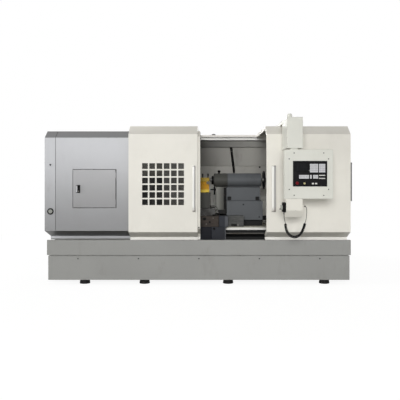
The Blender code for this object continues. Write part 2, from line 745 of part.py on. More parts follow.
def make_tail_guard():
    """The fixed guard at the tail end, inside the right sliding guard, with its end wall and vent cover."""
    outer, wall = LIP_OFFSET, TAIL_GUARD_WALL
    path = guard_path(DECK_Z + SEAT)
    path[-1] = (BEAM_FRONT - REAR_LEDGE - 2 * DOOR_GAP, GUARD_TOP)
    right = BASE_HALF
    inner = outer + wall
    section = [(TAIL_GUARD_LEFT, outer), (right, outer), (right, inner), (TAIL_GUARD_LEFT, inner)]
    guard = place("tail_guard", folded(path, section), WHITE)
    line = [tuple(point) for point in inset_path(path, outer + wall / 2)]
    inside = REAR_FACE
    end = [*line, (BEAM_FRONT - REAR_LEDGE - 2 * DOOR_GAP, REAR_BEAM_BOTTOM - SEAT),
           (inside, REAR_BEAM_BOTTOM - SEAT), (inside, DECK_Z + SEAT)]
    join(guard, prism(end, "x", (right - TAIL_END_WALL, right)))

    face = right + SEAT
    vent = place("end_vent_cover", block((face, right + VENT_PROUD), VENT_Y, VENT_Z), BLACK)
    soften(vent, 0.006)
    rise = (VENT_Z[1] - VENT_Z[0]) / (VENT_SLOTS + 1)
    for number in range(1, VENT_SLOTS + 1):
        z = VENT_Z[0] + number * rise
        depth, beyond = right + VENT_PROUD - VENT_SLOT_DEPTH, right + 2 * VENT_PROUD
        outline = [(depth, z), (beyond, z - rise * 0.2), (beyond, z + rise * 0.35), (depth, z + rise * 0.25)]
        cut(vent, prism(outline, "y", (VENT_Y[0] + 0.03, VENT_Y[1] - 0.03)))


def make_bed():
    """The bed with its four ways, and the feed screw in its end blocks along the front."""
    place("bed", prism(bed_section(), "x", BED_X), DARK)
    left, right = SCREW_X
    r = SCREW_RADIUS
    profile = [(0.0, left), (r, left), (r, right), (0.0, right)]
    screw = place("feed_screw", turned(profile, "x", (0.0, SCREW_Y, SCREW_Z), 20), STEEL, smooth=True)
    web = SPINDLE_Y - BED_WEB - SEAT
    for x in (left + 2 * DOOR_GAP, right - SCREW_BLOCK - 2 * DOOR_GAP):
        join(screw, block((x, x + SCREW_BLOCK), (SCREW_Y - r * 0.6, web), SCREW_BLOCK_Z))


def make_headstock():
    """The headstock casting on the bed, and the three-jaw chuck on its spindle."""
    half = HEADSTOCK_WIDTH / 2
    y = (SPINDLE_Y - half, SPINDLE_Y + half)
    soften(place("headstock", block(HEADSTOCK_X, y, (WAY_TOP + SEAT, HEADSTOCK_TOP)), DARK), 0.020)

    nose = HEADSTOCK_X[1] + SEAT
    front = CHUCK_BACK + CHUCK_LENGTH
    profile = [
        (CHUCK_BORE, nose), (SPINDLE_NOSE_RADIUS, nose), (SPINDLE_NOSE_RADIUS, CHUCK_BACK),
        (CHUCK_RADIUS - CHUCK_EDGE, CHUCK_BACK), (CHUCK_RADIUS, CHUCK_BACK + CHUCK_EDGE),
        (CHUCK_RADIUS, front - CHUCK_EDGE), (CHUCK_RADIUS - CHUCK_EDGE, front), (CHUCK_BORE, front),
    ]
    axis = (0.0, SPINDLE_Y, SPINDLE_Z)
    origin = (CHUCK_BACK, SPINDLE_Y, SPINDLE_Z)
    chuck = place("chuck", turned(profile, "x", axis, 48), STEEL, origin, smooth=True)
    root, high = front - JAW_ROOT, front + JAW_HEIGHT
    middle, low = front + JAW_HEIGHT * 0.6, front + JAW_HEIGHT * 0.25
    first, second = JAW_STEPS
    steps = [
        (root, JAW_IN), (high, JAW_IN), (high, first), (middle, first), (middle, second), (low, second),
        (low, JAW_OUT), (root, JAW_OUT),
    ]
    for third in range(3):
        jaw = prism(steps, "y", (-JAW_WIDTH / 2, JAW_WIDTH / 2))
        spin = Matrix.Rotation(math.radians(120 * third), 4, "X")
        bmesh.ops.transform(jaw, matrix=Matrix.Translation(axis) @ spin, verts=jaw.verts)
        join(chuck, jaw)


def front_groove(x, front):
    """The upright groove that parts two castings bolted side by side, as a solid to be cut out."""
    width = (x - JOINT_GROOVE / 2, x + JOINT_GROOVE / 2)
    return block(width, (front - OVERCUT, front + JOINT_DEPTH), (DECK_Z, SADDLE_TOP + OVERCUT))


def make_carriage():
    """The saddle with its front shelf and wings, the apron under the shelf, the cross slide, the four-way
    tool post and its boring bar."""
    rear = 2 * SPINDLE_Y - SADDLE_FRONT
    front_wing, rear_wing = SADDLE_FRONT + WING_WIDTH, rear - WING_WIDTH
    plan = [
        (SADDLE_LEFT, SHELF_FRONT), (SHELF_RIGHT, SHELF_FRONT), (SHELF_RIGHT, SADDLE_FRONT),
        (WING_RIGHT, SADDLE_FRONT), (WING_RIGHT, front_wing), (BRIDGE_RIGHT, front_wing),
        (BRIDGE_RIGHT, rear_wing), (WING_RIGHT, rear_wing), (WING_RIGHT, rear), (SADDLE_LEFT, rear),
    ]
    saddle = place("saddle", prism(plan, "z", (WAY_TOP + SEAT, SADDLE_TOP)), STEEL)
    cut(saddle, front_groove(SHELF_SPLIT_X, SHELF_FRONT))
    soften(saddle, 0.004)

    depth = (APRON_FRONT, APRON_FRONT + APRON_THICKNESS)
    apron = place("apron", block((SADDLE_LEFT, APRON_RIGHT), depth, (APRON_BOTTOM, WAY_TOP)), DARK)
    cut(apron, front_groove(APRON_SPLIT_X, APRON_FRONT))

    low = SADDLE_TOP + SEAT
    neck = low + SLIDE_NECK_HEIGHT
    left, right = SADDLE_LEFT, SLIDE_RIGHT
    slide = [
        (left + SLIDE_NECK, low), (right - SLIDE_NECK, low), (right - SLIDE_NECK * 1.4, neck), (right, neck),
        (right, SLIDE_TOP), (left, SLIDE_TOP), (left, neck), (left + SLIDE_NECK * 1.4, neck),
    ]
    place("cross_slide", prism(slide, "y", SLIDE_Y), STEEL)

    half = POST_BASE_SIDE / 2
    x, y = (POST_X - half, POST_X + half), (POST_Y - half, POST_Y + half)
    base = block(x, y, (SLIDE_TOP + SEAT, POST_BOTTOM))
    soften(place("tool_post_base", base, GREY), 0.010)

    half = POST_SIDE / 2
    origin = (POST_X, POST_Y, POST_BOTTOM)
    x, y = (POST_X - half, POST_X + half), (POST_Y - half, POST_Y + half)
    post = place("tool_post", block(x, y, (POST_BOTTOM + SEAT, POST_TOP)), YELLOW, origin)
    for side in range(4):
        slot = block((half - POST_SLOT_DEPTH, half * 2), (-half * 2, half * 2), POST_SLOT_Z)
        turn = Matrix.Translation((POST_X, POST_Y, 0.0)) @ Matrix.Rotation(math.radians(90 * side), 4, "Z")
        bmesh.ops.transform(slot, matrix=turn, verts=slot.verts)
        cut(post, slot)
    root, top = POST_TOP - 0.010, POST_TOP + POST_SCREW_HEIGHT
    bolt = [(0.0, root), (POST_SCREW_RADIUS, root), (POST_SCREW_RADIUS, top), (0.0, top)]
    for side in range(4):
        angle = math.radians(90 * side)
        for along in (-0.5, 0.5):
            spot = Vector((POST_SCREW_OFFSET, along * POST_SCREW_PITCH))
            spot.rotate(Matrix.Rotation(angle, 2))
            join(post, turned(bolt, "z", (POST_X + spot.x, POST_Y + spot.y, 0.0), 12))

    face = POST_X - half - SEAT
    collar = face - TOOL_COLLAR_LENGTH
    tool = [
        (0.0, face), (TOOL_COLLAR, face), (TOOL_COLLAR, collar), (TOOL_RADIUS, collar - TOOL_EDGE),
        (TOOL_RADIUS, TOOL_TIP_X + TOOL_EDGE), (TOOL_RADIUS - TOOL_EDGE, TOOL_TIP_X), (0.0, TOOL_TIP_X),
    ]
    place("boring_bar", turned(tool, "x", (0.0, POST_Y, TOOL_Z), 28), STEEL, smooth=True)


def make_tailstock():
    """The tailstock on the inner ways: body, barrel, column, quill, centre, handwheel and clamp knob."""
    y = (SPINDLE_Y - TAIL_HALF, SPINDLE_Y + TAIL_HALF)
    body = place("tailstock_body", block(TAIL_X, y, (WAY_TOP + SEAT, TAIL_BASE_TOP)), DARK)
    upper = (SPINDLE_Y - TAIL_BODY_HALF, SPINDLE_Y + TAIL_BODY_HALF)
    join(body, block((TAIL_X[0], TAIL_BODY_RIGHT), upper, (TAIL_BASE_TOP - OVERCUT / 2, TAIL_BODY_TOP)))
    rebate = (DECK_Z, TAIL_REBATE_TOP)
    beyond = (TAIL_X[0] - OVERCUT, TAIL_X[1] + OVERCUT)
    for side in ((y[0] - OVERCUT, y[0] + TAIL_REBATE_DEPTH), (y[1] - TAIL_REBATE_DEPTH, y[1] + OVERCUT)):
        cut(body, block(beyond, side, rebate))
    for x in (TAIL_X[0] + NOTCH_INSET, TAIL_BODY_RIGHT - NOTCH_INSET - NOTCH):
        shelf = (upper[0] - OVERCUT, upper[0] + NOTCH_DEPTH)
        cut(body, block((x, x + NOTCH), shelf, (NOTCH_Z - NOTCH / 2, NOTCH_Z + NOTCH / 2)))

    left, right = BARREL_X
    bore = QUILL_RADIUS + RUNNING
    depth = QUILL_LEFT + QUILL_LENGTH + QUILL_REST
    r = BARREL_RADIUS
    edge, waist = BARREL_EDGE, r - BARREL_GROOVE
    groove = (BARREL_CLAMP_X - BARREL_GROOVE, BARREL_CLAMP_X + BARREL_GROOVE)
    profile = [
        (0.0, depth), (bore, depth), (bore, left), (r - edge, left), (r, left + edge),
        (r, groove[0]), (waist, groove[0]), (waist, groove[1]), (r, groove[1]),
        (r, right - edge), (r - edge, right), (0.0, right),
    ]
    axis = (0.0, SPINDLE_Y, SPINDLE_Z)
    barrel = place("tailstock_barrel", turned(profile, "x", axis, 48), DARK, smooth=True)
    width = (SPINDLE_Y - BARREL_WEB / 2, SPINDLE_Y + BARREL_WEB / 2)
    web = (TAIL_BODY_TOP + SEAT, SPINDLE_Z - bore - 2 * BARREL_EDGE)
    join(barrel, block((BARREL_CLAMP_X, TAIL_BODY_RIGHT), width, web))

    quill = [
        (0.0, QUILL_LEFT), (QUILL_RADIUS - QUILL_EDGE, QUILL_LEFT), (QUILL_RADIUS, QUILL_LEFT + QUILL_EDGE),
        (QUILL_RADIUS, QUILL_LEFT + QUILL_LENGTH), (0.0, QUILL_LEFT + QUILL_LENGTH),
    ]
    origin = (QUILL_LEFT, SPINDLE_Y, SPINDLE_Z)
    place("quill", turned(quill, "x", axis, 40), STEEL, origin, smooth=True)
    tip, stop = CENTRE_TIP_X, QUILL_LEFT - SEAT
    r = CENTRE_RADIUS
    centre = [(0.0, tip - CENTRE_POINT), (r * 0.8, tip), (r, tip + 0.002), (r, stop), (0.0, stop)]
    place("live_centre", turned(centre, "x", axis, 28), STEEL, origin, smooth=True)

    deep = (SPINDLE_Y - COLUMN_HALF, SPINDLE_Y + COLUMN_HALF)
    top = SPINDLE_Z - BARREL_RADIUS - SEAT
    column = place("tailstock_column", block(COLUMN_X, deep, (COLUMN_BOTTOM - 0.010, top)), LIGHT_GREY)
    join(column, block((COLUMN_FOOT_LEFT, TAIL_X[0] - SEAT), deep, (COLUMN_FOOT_BOTTOM, COLUMN_BOTTOM)))

    crest = SPINDLE_Z + BARREL_RADIUS + SEAT
    top = SPINDLE_Z + BARREL_RADIUS + KNOB_RISE
    r, stem = KNOB_RADIUS, KNOB_RADIUS * 0.6
    knob = [
        (0.0, crest), (stem, crest), (stem, crest + 0.010), (r, crest + 0.014), (r, top - 0.006),
        (r - 0.005, top), (0.0, top),
    ]
    place("quill_clamp_knob", turned(knob, "z", (KNOB_X, SPINDLE_Y, 0.0), 24), BLACK, smooth=True)
    make_handwheel(axis)


def make_handwheel(axis):
    """The tailstock handwheel: a round rim, three spokes and a hub on the end of the barrel."""
    rim_centre = WHEEL_RADIUS - WHEEL_RIM
    rim = [
        (rim_centre + WHEEL_RIM * math.cos(angle), WHEEL_X + WHEEL_RIM * math.sin(angle))
        for angle in (2 * math.pi * step / 10 for step in range(10))
    ]
    origin = (WHEEL_X, SPINDLE_Y, SPINDLE_Z)
    wheel = place("tailstock_handwheel", turned(rim, "x", axis, 44), BLACK, origin, smooth=True)
    start, stop = BARREL_X[1] + SEAT, WHEEL_X + 0.030
    hub = [(0.0, start), (WHEEL_HUB * 0.6, start), (WHEEL_HUB, WHEEL_X - 0.016), (WHEEL_HUB, stop - 0.004),
           (WHEEL_HUB - 0.004, stop), (0.0, stop)]
    join(wheel, turned(hub, "x", axis, 28))
    for third in range(3):
        spoke = block((WHEEL_X - 0.007, WHEEL_X + 0.007), (-0.011, 0.011), (WHEEL_HUB * 0.5, rim_centre))
        spin = Matrix.Rotation(math.radians(120 * third), 4, "X")
        bmesh.ops.transform(spoke, matrix=Matrix.Translation(axis) @ spin, verts=spoke.verts)
        join(wheel, spoke)


def make_arm():
    """The arm over the guards that carries the control panel: a flat beam and a deep head."""
    rear = REAR_FACE - ARM_REAR_INSET
    arm = place("panel_arm", block(ARM_X, (ARM_HEAD_REAR + SEAT, rear), (ARM_BOTTOM, ARM_TOP)), LIGHT_GREY)
    foot = (BEAM_FRONT + 4 * DOOR_GAP, rear)
    join(arm, block(ARM_X, foot, (REAR_BEAM_TOP + SEAT, ARM_BOTTOM + ARM_THICKNESS / 4)))

    front = -PANEL_REACH
    head = place("arm_head", block(ARM_X, (front, ARM_HEAD_REAR), (ARM_HEAD_BOTTOM, ARM_TOP)), LIGHT_GREY)
    soften(head, 0.004)
    x, y = ARM_CAP_X, front + ARM_CAP_SET_BACK
    r, h = ARM_CAP_RADIUS, ARM_CAP_HEIGHT
    rise = [(0.0, -0.010), (r, -0.010), (r, h * 0.5), (r * 0.85, h * 0.8), (r * 0.5, h), (0.0, h)]
    cap = [(radius, ARM_TOP + height) for radius, height in rise]
    join(head, turned(cap, "z", (x, y, 0.0), 24))


def make_panel():
    """The control panel with its black face and stop button, and the small box under it."""
    front = -PANEL_REACH
    span = (PANEL_BOTTOM, PANEL_TOP)
    panel = place("control_panel", block(PANEL_X, (front, front + PANEL_DEPTH), span), LIGHT_GREY)
    soften(panel, 0.005)
    middle = (ARM_X[0] + ARM_X[1]) / 2
    root, crest = PANEL_TOP - 0.020, ARM_HEAD_BOTTOM - SEAT
    neck = [(0.0, root), (NECK_RADIUS, root), (NECK_RADIUS, crest), (0.0, crest)]
    join(panel, turned(neck, "z", (middle, front + PANEL_DEPTH / 2, 0.0), 28))

    sill = PANEL_BOTTOM + FACE_SILL
    face = block(FACE_X, (front - FACE_THICKNESS, front - SEAT), (sill, sill + FACE_HEIGHT))
    soften(place("control_face", face, BLACK), 0.0015, 1)
    base = front - FACE_THICKNESS - SEAT
    crown = front - STOP_PROUD
    r = STOP_RADIUS
    button = [(0.0, crown), (r * 0.6, crown + 0.001), (r * 0.95, crown + 0.005), (r, crown + 0.010),
              (r * 0.9, crown + 0.016), (r * 0.6, crown + 0.018), (r * 0.6, base), (0.0, base)]
    z = PANEL_BOTTOM + STOP_RISE
    place("stop_button", turned(button, "y", (STOP_X, 0.0, z), 28), RED, (STOP_X, base, z), smooth=True)

    rear = front + PANEL_DEPTH
    top, low = PANEL_BOTTOM - SEAT, PANEL_BOTTOM - LOWER_HEIGHT
    sill = PANEL_BOTTOM - LOWER_FRONT_HEIGHT
    outline = [(front, top), (front, sill), (front + LOWER_SLOPE_BACK, low), (rear, low), (rear, top)]
    box = place("lower_box", prism(outline, "x", LOWER_X), LIGHT_GREY)
    right, end = LOWER_X[1], LOWER_X[1] + GLAND_LENGTH
    r, nut = GLAND_RADIUS, GLAND_RADIUS * 1.3
    gland = [(0.0, right - 0.010), (nut, right - 0.010), (nut, right + 0.008), (r, right + 0.010),
             (r, end - 0.004), (r * 0.7, end), (0.0, end)]
    join(box, turned(gland, "x", (0.0, CORD_Y, GLAND_Z), 20))


def make_pendant():
    """The hand pendant on the side of the lower box, its dial, and the curly cord back to the gland."""
    right = LOWER_X[0] - SEAT
    left = right - PENDANT_THICKNESS
    front, top = -PANEL_REACH - PENDANT_PROUD, PANEL_BOTTOM - PENDANT_DROP
    y = (front, front + PENDANT_DEPTH)
    soften(place("hand_pendant", block((left, right), y, (top - PENDANT_HEIGHT, top)), BLACK), 0.006)
    middle = (y[0] + y[1]) / 2
    r, start, stop = DIAL_RADIUS, left - SEAT, left - DIAL_THICKNESS
    dial = [(0.0, start), (r, start), (r, start - 0.004), (r * 0.86, start - 0.006), (r * 0.86, stop + 0.003),
            (r * 0.78, stop), (0.0, stop)]
    z = PANEL_BOTTOM - DIAL_DROP
    place("pendant_dial", turned(dial, "x", (0.0, middle, z), 36), STEEL, (start, middle, z), smooth=True)
    last = len(CORD_ROUTE) - 1
    tube("cord_to_gland", 0, CURLY_START, CORD_RADIUS, 0.011)
    tube("cord_curly", CURLY_START, CURLY_STOP, COIL_RADIUS, 0.020)
    tube("cord_to_pendant", CURLY_STOP, last, CORD_RADIUS, 0.011)


def smooth_route(points, start, stop):
    """A fine smooth curve through the route's (x, z) points, from one of them to another."""
    padded = [points[0], *points, points[-1]]
    fine = []
    for index in range(start, stop):
        a, b, c, d = padded[index:index + 4]
        for step in range(40):
            t = step / 40
            fine.append([
                0.5 * (2 * b[k] + (c[k] - a[k]) * t + (2 * a[k] - 5 * b[k] + 4 * c[k] - d[k]) * t * t
                       + (3 * b[k] - a[k] - 3 * c[k] + d[k]) * t ** 3)
                for k in (0, 1)
            ])
    fine.append(list(points[stop]))
    return fine


def evenly(fine, spacing, head, tail):
    """Points at an even spacing along a fine curve, leaving out its head and tail lengths."""
    lengths = [0.0]
    for here, there in zip(fine, fine[1:]):
        lengths.append(lengths[-1] + math.dist(here, there))
    run = lengths[-1] - head - tail
    count = max(4, round(run / spacing))
    even = []
    for index in range(count + 1):
        goal = head + run * index / count
        at = max(k for k in range(len(lengths) - 1) if lengths[k] <= goal + 1e-9)
        share = (goal - lengths[at]) / (lengths[at + 1] - lengths[at])
        even.append([fine[at][k] + share * (fine[at + 1][k] - fine[at][k]) for k in (0, 1)])
    return even


def tube(name, start, stop, radius, spacing):
    """A plain round stretch of the cord between two points of its route, as a curve with filled ends."""
    head = SEAT / 2 if start > 0 else 0.0
    tail = SEAT / 2 if stop < len(CORD_ROUTE) - 1 else 0.0
    points = evenly(smooth_route(CORD_ROUTE, start, stop), spacing, head, tail)
    curve = bpy.data.curves.new(name, "CURVE")
    curve.dimensions = "3D"
    curve.bevel_depth = radius
    curve.bevel_resolution = 2
    curve.use_fill_caps = True
    spline = curve.splines.new("POLY")
    spline.points.add(len(points) - 1)
    for point, (x, z) in zip(spline.points, points):
        point.co = (x, CORD_Y, z, 1.0)
    curve.materials.append(RUBBER)
    obj = bpy.data.objects.new(name, curve)
    bpy.context.collection.objects.link(obj)
    obj.parent = datum


def make_coolant_pipe():
    """The straight black pipe along the front of the rear wall, from under the channel."""
    y = REAR_FACE - REAR_WALL_THICKNESS - PIPE_RADIUS - SEAT
    top = Vector((PIPE_TOP[0], y, PIPE_TOP[1]))
    bottom = Vector((PIPE_BOTTOM[0], y, PIPE_BOTTOM[1]))
    length = (top - bottom).length
    r = PIPE_RADIUS
    profile = [(0.0, 0.0), (r * 0.5, 0.0), (r, PIPE_NOZZLE), (r, length), (0.0, length)]
    shape = turned(profile, "z", (0.0, 0.0, 0.0), 20)
    lean = (top - bottom).to_track_quat("Z", "Y").to_matrix().to_4x4()
    bmesh.ops.transform(shape, matrix=Matrix.Translation(bottom) @ lean, verts=shape.verts)
    place("coolant_pipe", shape, BLACK, smooth=True)


make_base()
make_feet()
make_housing()
make_service_door()
make_left_door()
make_right_door()
make_rails()
make_tail_guard()
make_bed()
make_headstock()
make_carriage()
make_tailstock()
make_arm()
make_panel()
make_pendant()
make_coolant_pipe()
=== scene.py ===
# %% [markdown]
# A flat-bed CNC lathe, dressed for its picture.
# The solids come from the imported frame: base, housing, guards, bed, carriage, tailstock and control arm.
# This file gives them rounded edges, paint, metal and dirt, and adds the small things that such a
# machine carries: screws, seals, keys, levers and the curly cord of the hand pendant.

# %% Load the frame
import json
import math

import bpy
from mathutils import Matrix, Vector


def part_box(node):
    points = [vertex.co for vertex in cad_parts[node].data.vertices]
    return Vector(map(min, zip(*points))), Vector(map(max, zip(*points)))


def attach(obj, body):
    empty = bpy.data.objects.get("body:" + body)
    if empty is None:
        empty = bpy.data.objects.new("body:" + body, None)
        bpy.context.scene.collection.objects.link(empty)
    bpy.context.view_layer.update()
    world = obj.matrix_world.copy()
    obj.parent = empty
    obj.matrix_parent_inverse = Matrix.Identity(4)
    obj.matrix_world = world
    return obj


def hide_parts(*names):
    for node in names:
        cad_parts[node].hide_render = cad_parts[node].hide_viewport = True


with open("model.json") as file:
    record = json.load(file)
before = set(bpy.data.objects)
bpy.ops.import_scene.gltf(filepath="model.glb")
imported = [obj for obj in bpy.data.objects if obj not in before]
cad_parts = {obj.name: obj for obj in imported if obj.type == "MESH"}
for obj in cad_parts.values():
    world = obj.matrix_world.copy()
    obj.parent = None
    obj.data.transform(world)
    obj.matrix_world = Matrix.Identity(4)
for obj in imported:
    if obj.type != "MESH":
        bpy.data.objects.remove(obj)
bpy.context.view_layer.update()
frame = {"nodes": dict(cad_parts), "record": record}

nodes = frame["nodes"]
home = {node: body for body, members in frame["record"]["behaviour"]["bodies"].items() for node in members}

# %% [markdown]
# The camera stands level, 7.5 m in front of the guards and 1.3 m above the floor, a little right of the
# middle. A level camera keeps the uprights upright, and a small shift centres the machine in the square
# frame, which is what a tilted camera could not do without leaning walls.

# %% Camera
FRONT_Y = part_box("left_door")[0].y
EYE_BACK = 7.5
EYE = Vector((0.091, FRONT_Y - EYE_BACK, 1.300))
FOCAL_LENGTH = 52.73
FRAME_SHIFT = (-0.015, -0.0425)
SENSOR_WIDTH = 36.0

lens = bpy.data.cameras.new("camera")
lens.lens = FOCAL_LENGTH
lens.sensor_width = SENSOR_WIDTH
lens.shift_x, lens.shift_y = FRAME_SHIFT
camera = bpy.data.objects.new("camera", lens)
camera.location = EYE
camera.rotation_euler = (math.pi / 2, 0.0, 0.0)
bpy.context.scene.collection.objects.link(camera)
bpy.context.scene.camera = camera
print("camera at", [round(value, 3) for value in EYE])

OUT = Vector((0.0, -1.0, 0.0))
BACK = Vector((0.0, 1.0, 0.0))
UP = Vector((0.0, 0.0, 1.0))
LEFT = Vector((-1.0, 0.0, 0.0))
RIGHT = Vector((1.0, 0.0, 0.0))


def at(x, back, z):
    """A point of the machine: x, the distance behind the guards' front face, and the height."""
    return Vector((x, FRONT_Y + back, z))


# %% [markdown]
# The hand pendant hangs on a cord that leaves a gland in the box under the panel. It runs thin for a
# hand's breadth, then as a curly stretch that hangs in a loop, and thin again up into the pendant.
# The route is a list of points, rounded into one smooth line. Along the curly stretch a loop of code
# winds the cord round that line, so its turns stay even and its real length is known. A curve's box
# reaches past its points by their radius, so that radius is small, and the bevel makes up for it.

# %% Cord of the hand pendant
CORD_BACK = -0.430
CORD_DIAMETER = 0.0065
CURLY_ACROSS = 0.034
CURLY_RADIUS = (CURLY_ACROSS - CORD_DIAMETER) / 2
CURLY_PITCH = 0.0076
TURN_POINTS = 14
PLAIN_STEP = 0.012
CURLY_START = 8
CURLY_STOP = 18
CORD_ROUTE = [
    (1.2756, 1.018), (1.284, 1.018), (1.293, 1.015), (1.303, 0.998), (1.307, 0.965), (1.305, 0.915),
    (1.300, 0.870), (1.294, 0.843),
    (1.285, 0.816), (1.279, 0.789), (1.270, 0.760), (1.245, 0.705), (1.209, 0.664), (1.160, 0.648),
    (1.111, 0.664), (1.074, 0.705), (1.0565, 0.756), (1.0525, 0.784), (1.0495, 0.812), (1.0435, 0.838),
    (1.0370, 0.868), (1.0330, 0.902), (1.032, 0.9497),
]
SPAN_STEPS = 40
POINT_RADIUS = 0.01


def rounded_route(points, steps):
    """A smooth line through the points, with the same number of steps in each span."""
    route = [at(x, CORD_BACK, z) for x, z in points]
    ends = [route[0] * 2 - route[1], *route, route[-1] * 2 - route[-2]]
    line = []
    for before, here, there, beyond in zip(ends, ends[1:], ends[2:], ends[3:]):
        for step in range(steps):
            t = step / steps
            bend = (before * 2 - here * 5 + there * 4 - beyond) * t * t
            swing = (here * 3 - before - there * 3 + beyond) * t * t * t
            line.append((here * 2 + (there - before) * t + bend + swing) / 2)
    return line + [route[-1]]


def line_lengths(line):
    """The distance along the line of each of its points."""
    lengths = [0.0]
    for here, there in zip(line, line[1:]):
        lengths.append(lengths[-1] + (there - here).length)
    return lengths


def spaced(low, high, count):
    """Even distances from the first up to the second, which is left out."""
    return [low + (high - low) * number / count for number in range(count)]


def wound(line, first, last):
    """The line with even turns wound round it between the two points."""
    lengths = line_lengths(line)
    start, stop, end = lengths[first], lengths[last], lengths[-1]
    turns = round((stop - start) / CURLY_PITCH)
    stations = spaced(0.0, start, round(start / PLAIN_STEP))
    stations += spaced(start, stop, turns * TURN_POINTS)
    stations += spaced(stop, end, round((end - stop) / PLAIN_STEP)) + [end]
    made = []
    index = 0
    for station in stations:
        while index < len(line) - 2 and lengths[index + 1] < station:
            index += 1
        along = (line[index + 1] - line[index]).normalized()
        centre = line[index] + along * (station - lengths[index])
        turn = (station - start) / (stop - start) * turns
        reach = max(0.0, min(1.0, turn, turns - turn))
        spread = CURLY_RADIUS * reach * reach * (3 - 2 * reach)
        angle = 2 * math.pi * turn
        made.append(centre + (along.cross(BACK) * math.cos(angle) + BACK * math.sin(angle)) * spread)
    return made


cord_line = wound(rounded_route(CORD_ROUTE, SPAN_STEPS), CURLY_START * SPAN_STEPS, CURLY_STOP * SPAN_STEPS)
cord_length = line_lengths(cord_line)[-1]
cord_curve = bpy.data.curves.new("pendant_cord", "CURVE")
cord_curve.dimensions = "3D"
cord_curve.bevel_depth = CORD_DIAMETER / 2 / POINT_RADIUS
cord_curve.bevel_resolution = 2
cord_curve.use_fill_caps = True
spline = cord_curve.splines.new("POLY")
spline.points.add(len(cord_line) - 1)
for point, place in zip(spline.points, cord_line):
    point.co = (*place, 1.0)
    point.radius = POINT_RADIUS
pendant_cord = bpy.data.objects.new("pendant_cord", cord_curve)
bpy.context.scene.collection.objects.link(pendant_cord)
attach(pendant_cord, "frame")
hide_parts("cord_to_gland", "cord_curly", "cord_to_pendant")
print("cord:", round(cord_length, 3), "m in", len(cord_line), "points")

# %% [markdown]
# Small parts are modelled as by hand: a block or a drum is added at its size and place, a face is
# chosen by where it looks, inset and pushed in or out, and the edges are rounded at the end.
# These helpers add the shapes that such work starts from: a block, a drum, a ring and a bent bar.

# %% Starting shapes


def only(obj):
    """Selects one object and nothing else."""
    bpy.ops.object.select_all(action="DESELECT")
    obj.select_set(True)
    bpy.context.view_layer.objects.active = obj


def settle(obj):
    """Puts the object's place, turn and scale into its mesh."""
    only(obj)
    bpy.ops.object.transform_apply(location=True, rotation=True, scale=True)
    return obj


def block(name, low, high):
    """A block between two corners."""
    low, high = Vector(low), Vector(high)
    bpy.ops.object.select_all(action="DESELECT")
    bpy.ops.mesh.primitive_cube_add(size=1.0, location=(low + high) / 2)
    obj = bpy.context.object
    obj.name = name
    obj.scale = high - low
    return settle(obj)


def drum(name, radius, start, end, sides, end_radius=None):
    """A round bar from one point to another, tapered if its end has a radius of its own."""
    start, end = Vector(start), Vector(end)
    bpy.ops.object.select_all(action="DESELECT")
    bpy.ops.mesh.primitive_cone_add(
        vertices=sides,
        radius1=radius,
        radius2=radius if end_radius is None else end_radius,
        depth=(end - start).length,
        location=(start + end) / 2,
        rotation=(end - start).to_track_quat("Z", "Y").to_euler(),
    )
    obj = bpy.context.object
    obj.name = name
    return settle(obj)


def ring(name, radius, thickness, centre, towards):
    """A round ring of wire about a centre."""
    bpy.ops.object.select_all(action="DESELECT")
    bpy.ops.mesh.primitive_torus_add(
        major_radius=radius,
        minor_radius=thickness / 2,
        major_segments=32,
        minor_segments=10,
        location=centre,
        rotation=Vector(towards).to_track_quat("Z", "Y").to_euler(),
    )
    obj = bpy.context.object
    obj.name = name
    return settle(obj)


def tube(name, points, radius):
    """A bent bar: a curve through the points, turned into a mesh."""
    curve = bpy.data.curves.new(name, "CURVE")
    curve.dimensions = "3D"
    curve.bevel_depth = radius
    curve.bevel_resolution = 3
    curve.use_fill_caps = True
    run = curve.splines.new("NURBS")
    run.points.add(len(points) - 1)
    for point, place in zip(run.points, points):
        point.co = (*place, 1.0)
    run.use_endpoint_u = True
    obj = bpy.data.objects.new(name, curve)
    bpy.context.scene.collection.objects.link(obj)
    only(obj)
    bpy.ops.object.convert(target="MESH")
    return bpy.context.object


# %% [markdown]
# The moves that shape a start are few: inset and push a face, round the edges, cut one shape out of
# another, join shapes, and copy one to many places. A last helper gives a finished piece its shading,
# its material and the body that it rides on.

# %% Moves
SAME_WAY = 0.99
SAME_PLACE = 1e-6
SHARP_EDGE = math.radians(30)
SMOOTH_DEGREES = 35
ROUNDED_DEGREES = 70


def choose_faces(obj, test):
    """Enters edit mode with the faces selected whose centre and normal pass the test."""
    only(obj)
    bpy.ops.object.mode_set(mode="EDIT")
    bpy.ops.mesh.select_mode(type="FACE")
    bpy.ops.mesh.select_all(action="DESELECT")
    bpy.ops.object.mode_set(mode="OBJECT")
    for face in obj.data.polygons:
        face.select = test(face.center, face.normal)
    bpy.ops.object.mode_set(mode="EDIT")


def step(obj, towards, inset, rise):
    """Insets the outermost face that looks one way, and pushes it out, or in where the rise is negative."""
    way = Vector(towards).normalized()
    facing = [face.center.copy() for face in obj.data.polygons if face.normal.dot(way) > SAME_WAY]
    spot = max(facing, key=lambda centre: centre.dot(way))

    def outermost(centre, normal):
        return normal.dot(way) > SAME_WAY and (centre - spot).length < SAME_PLACE

    choose_faces(obj, outermost)
    bpy.ops.mesh.inset(thickness=inset)
    bpy.ops.mesh.extrude_region_move(TRANSFORM_OT_translate={"value": way * rise})
    bpy.ops.object.mode_set(mode="OBJECT")
    return obj


def apply_modifier(obj, kind, **settings):
    """Adds one modifier with its settings and applies it."""
    only(obj)
    modifier = obj.modifiers.new(kind.lower(), kind)
    for name, value in settings.items():
        setattr(modifier, name, value)
    bpy.ops.object.modifier_apply(modifier=modifier.name)
    return obj


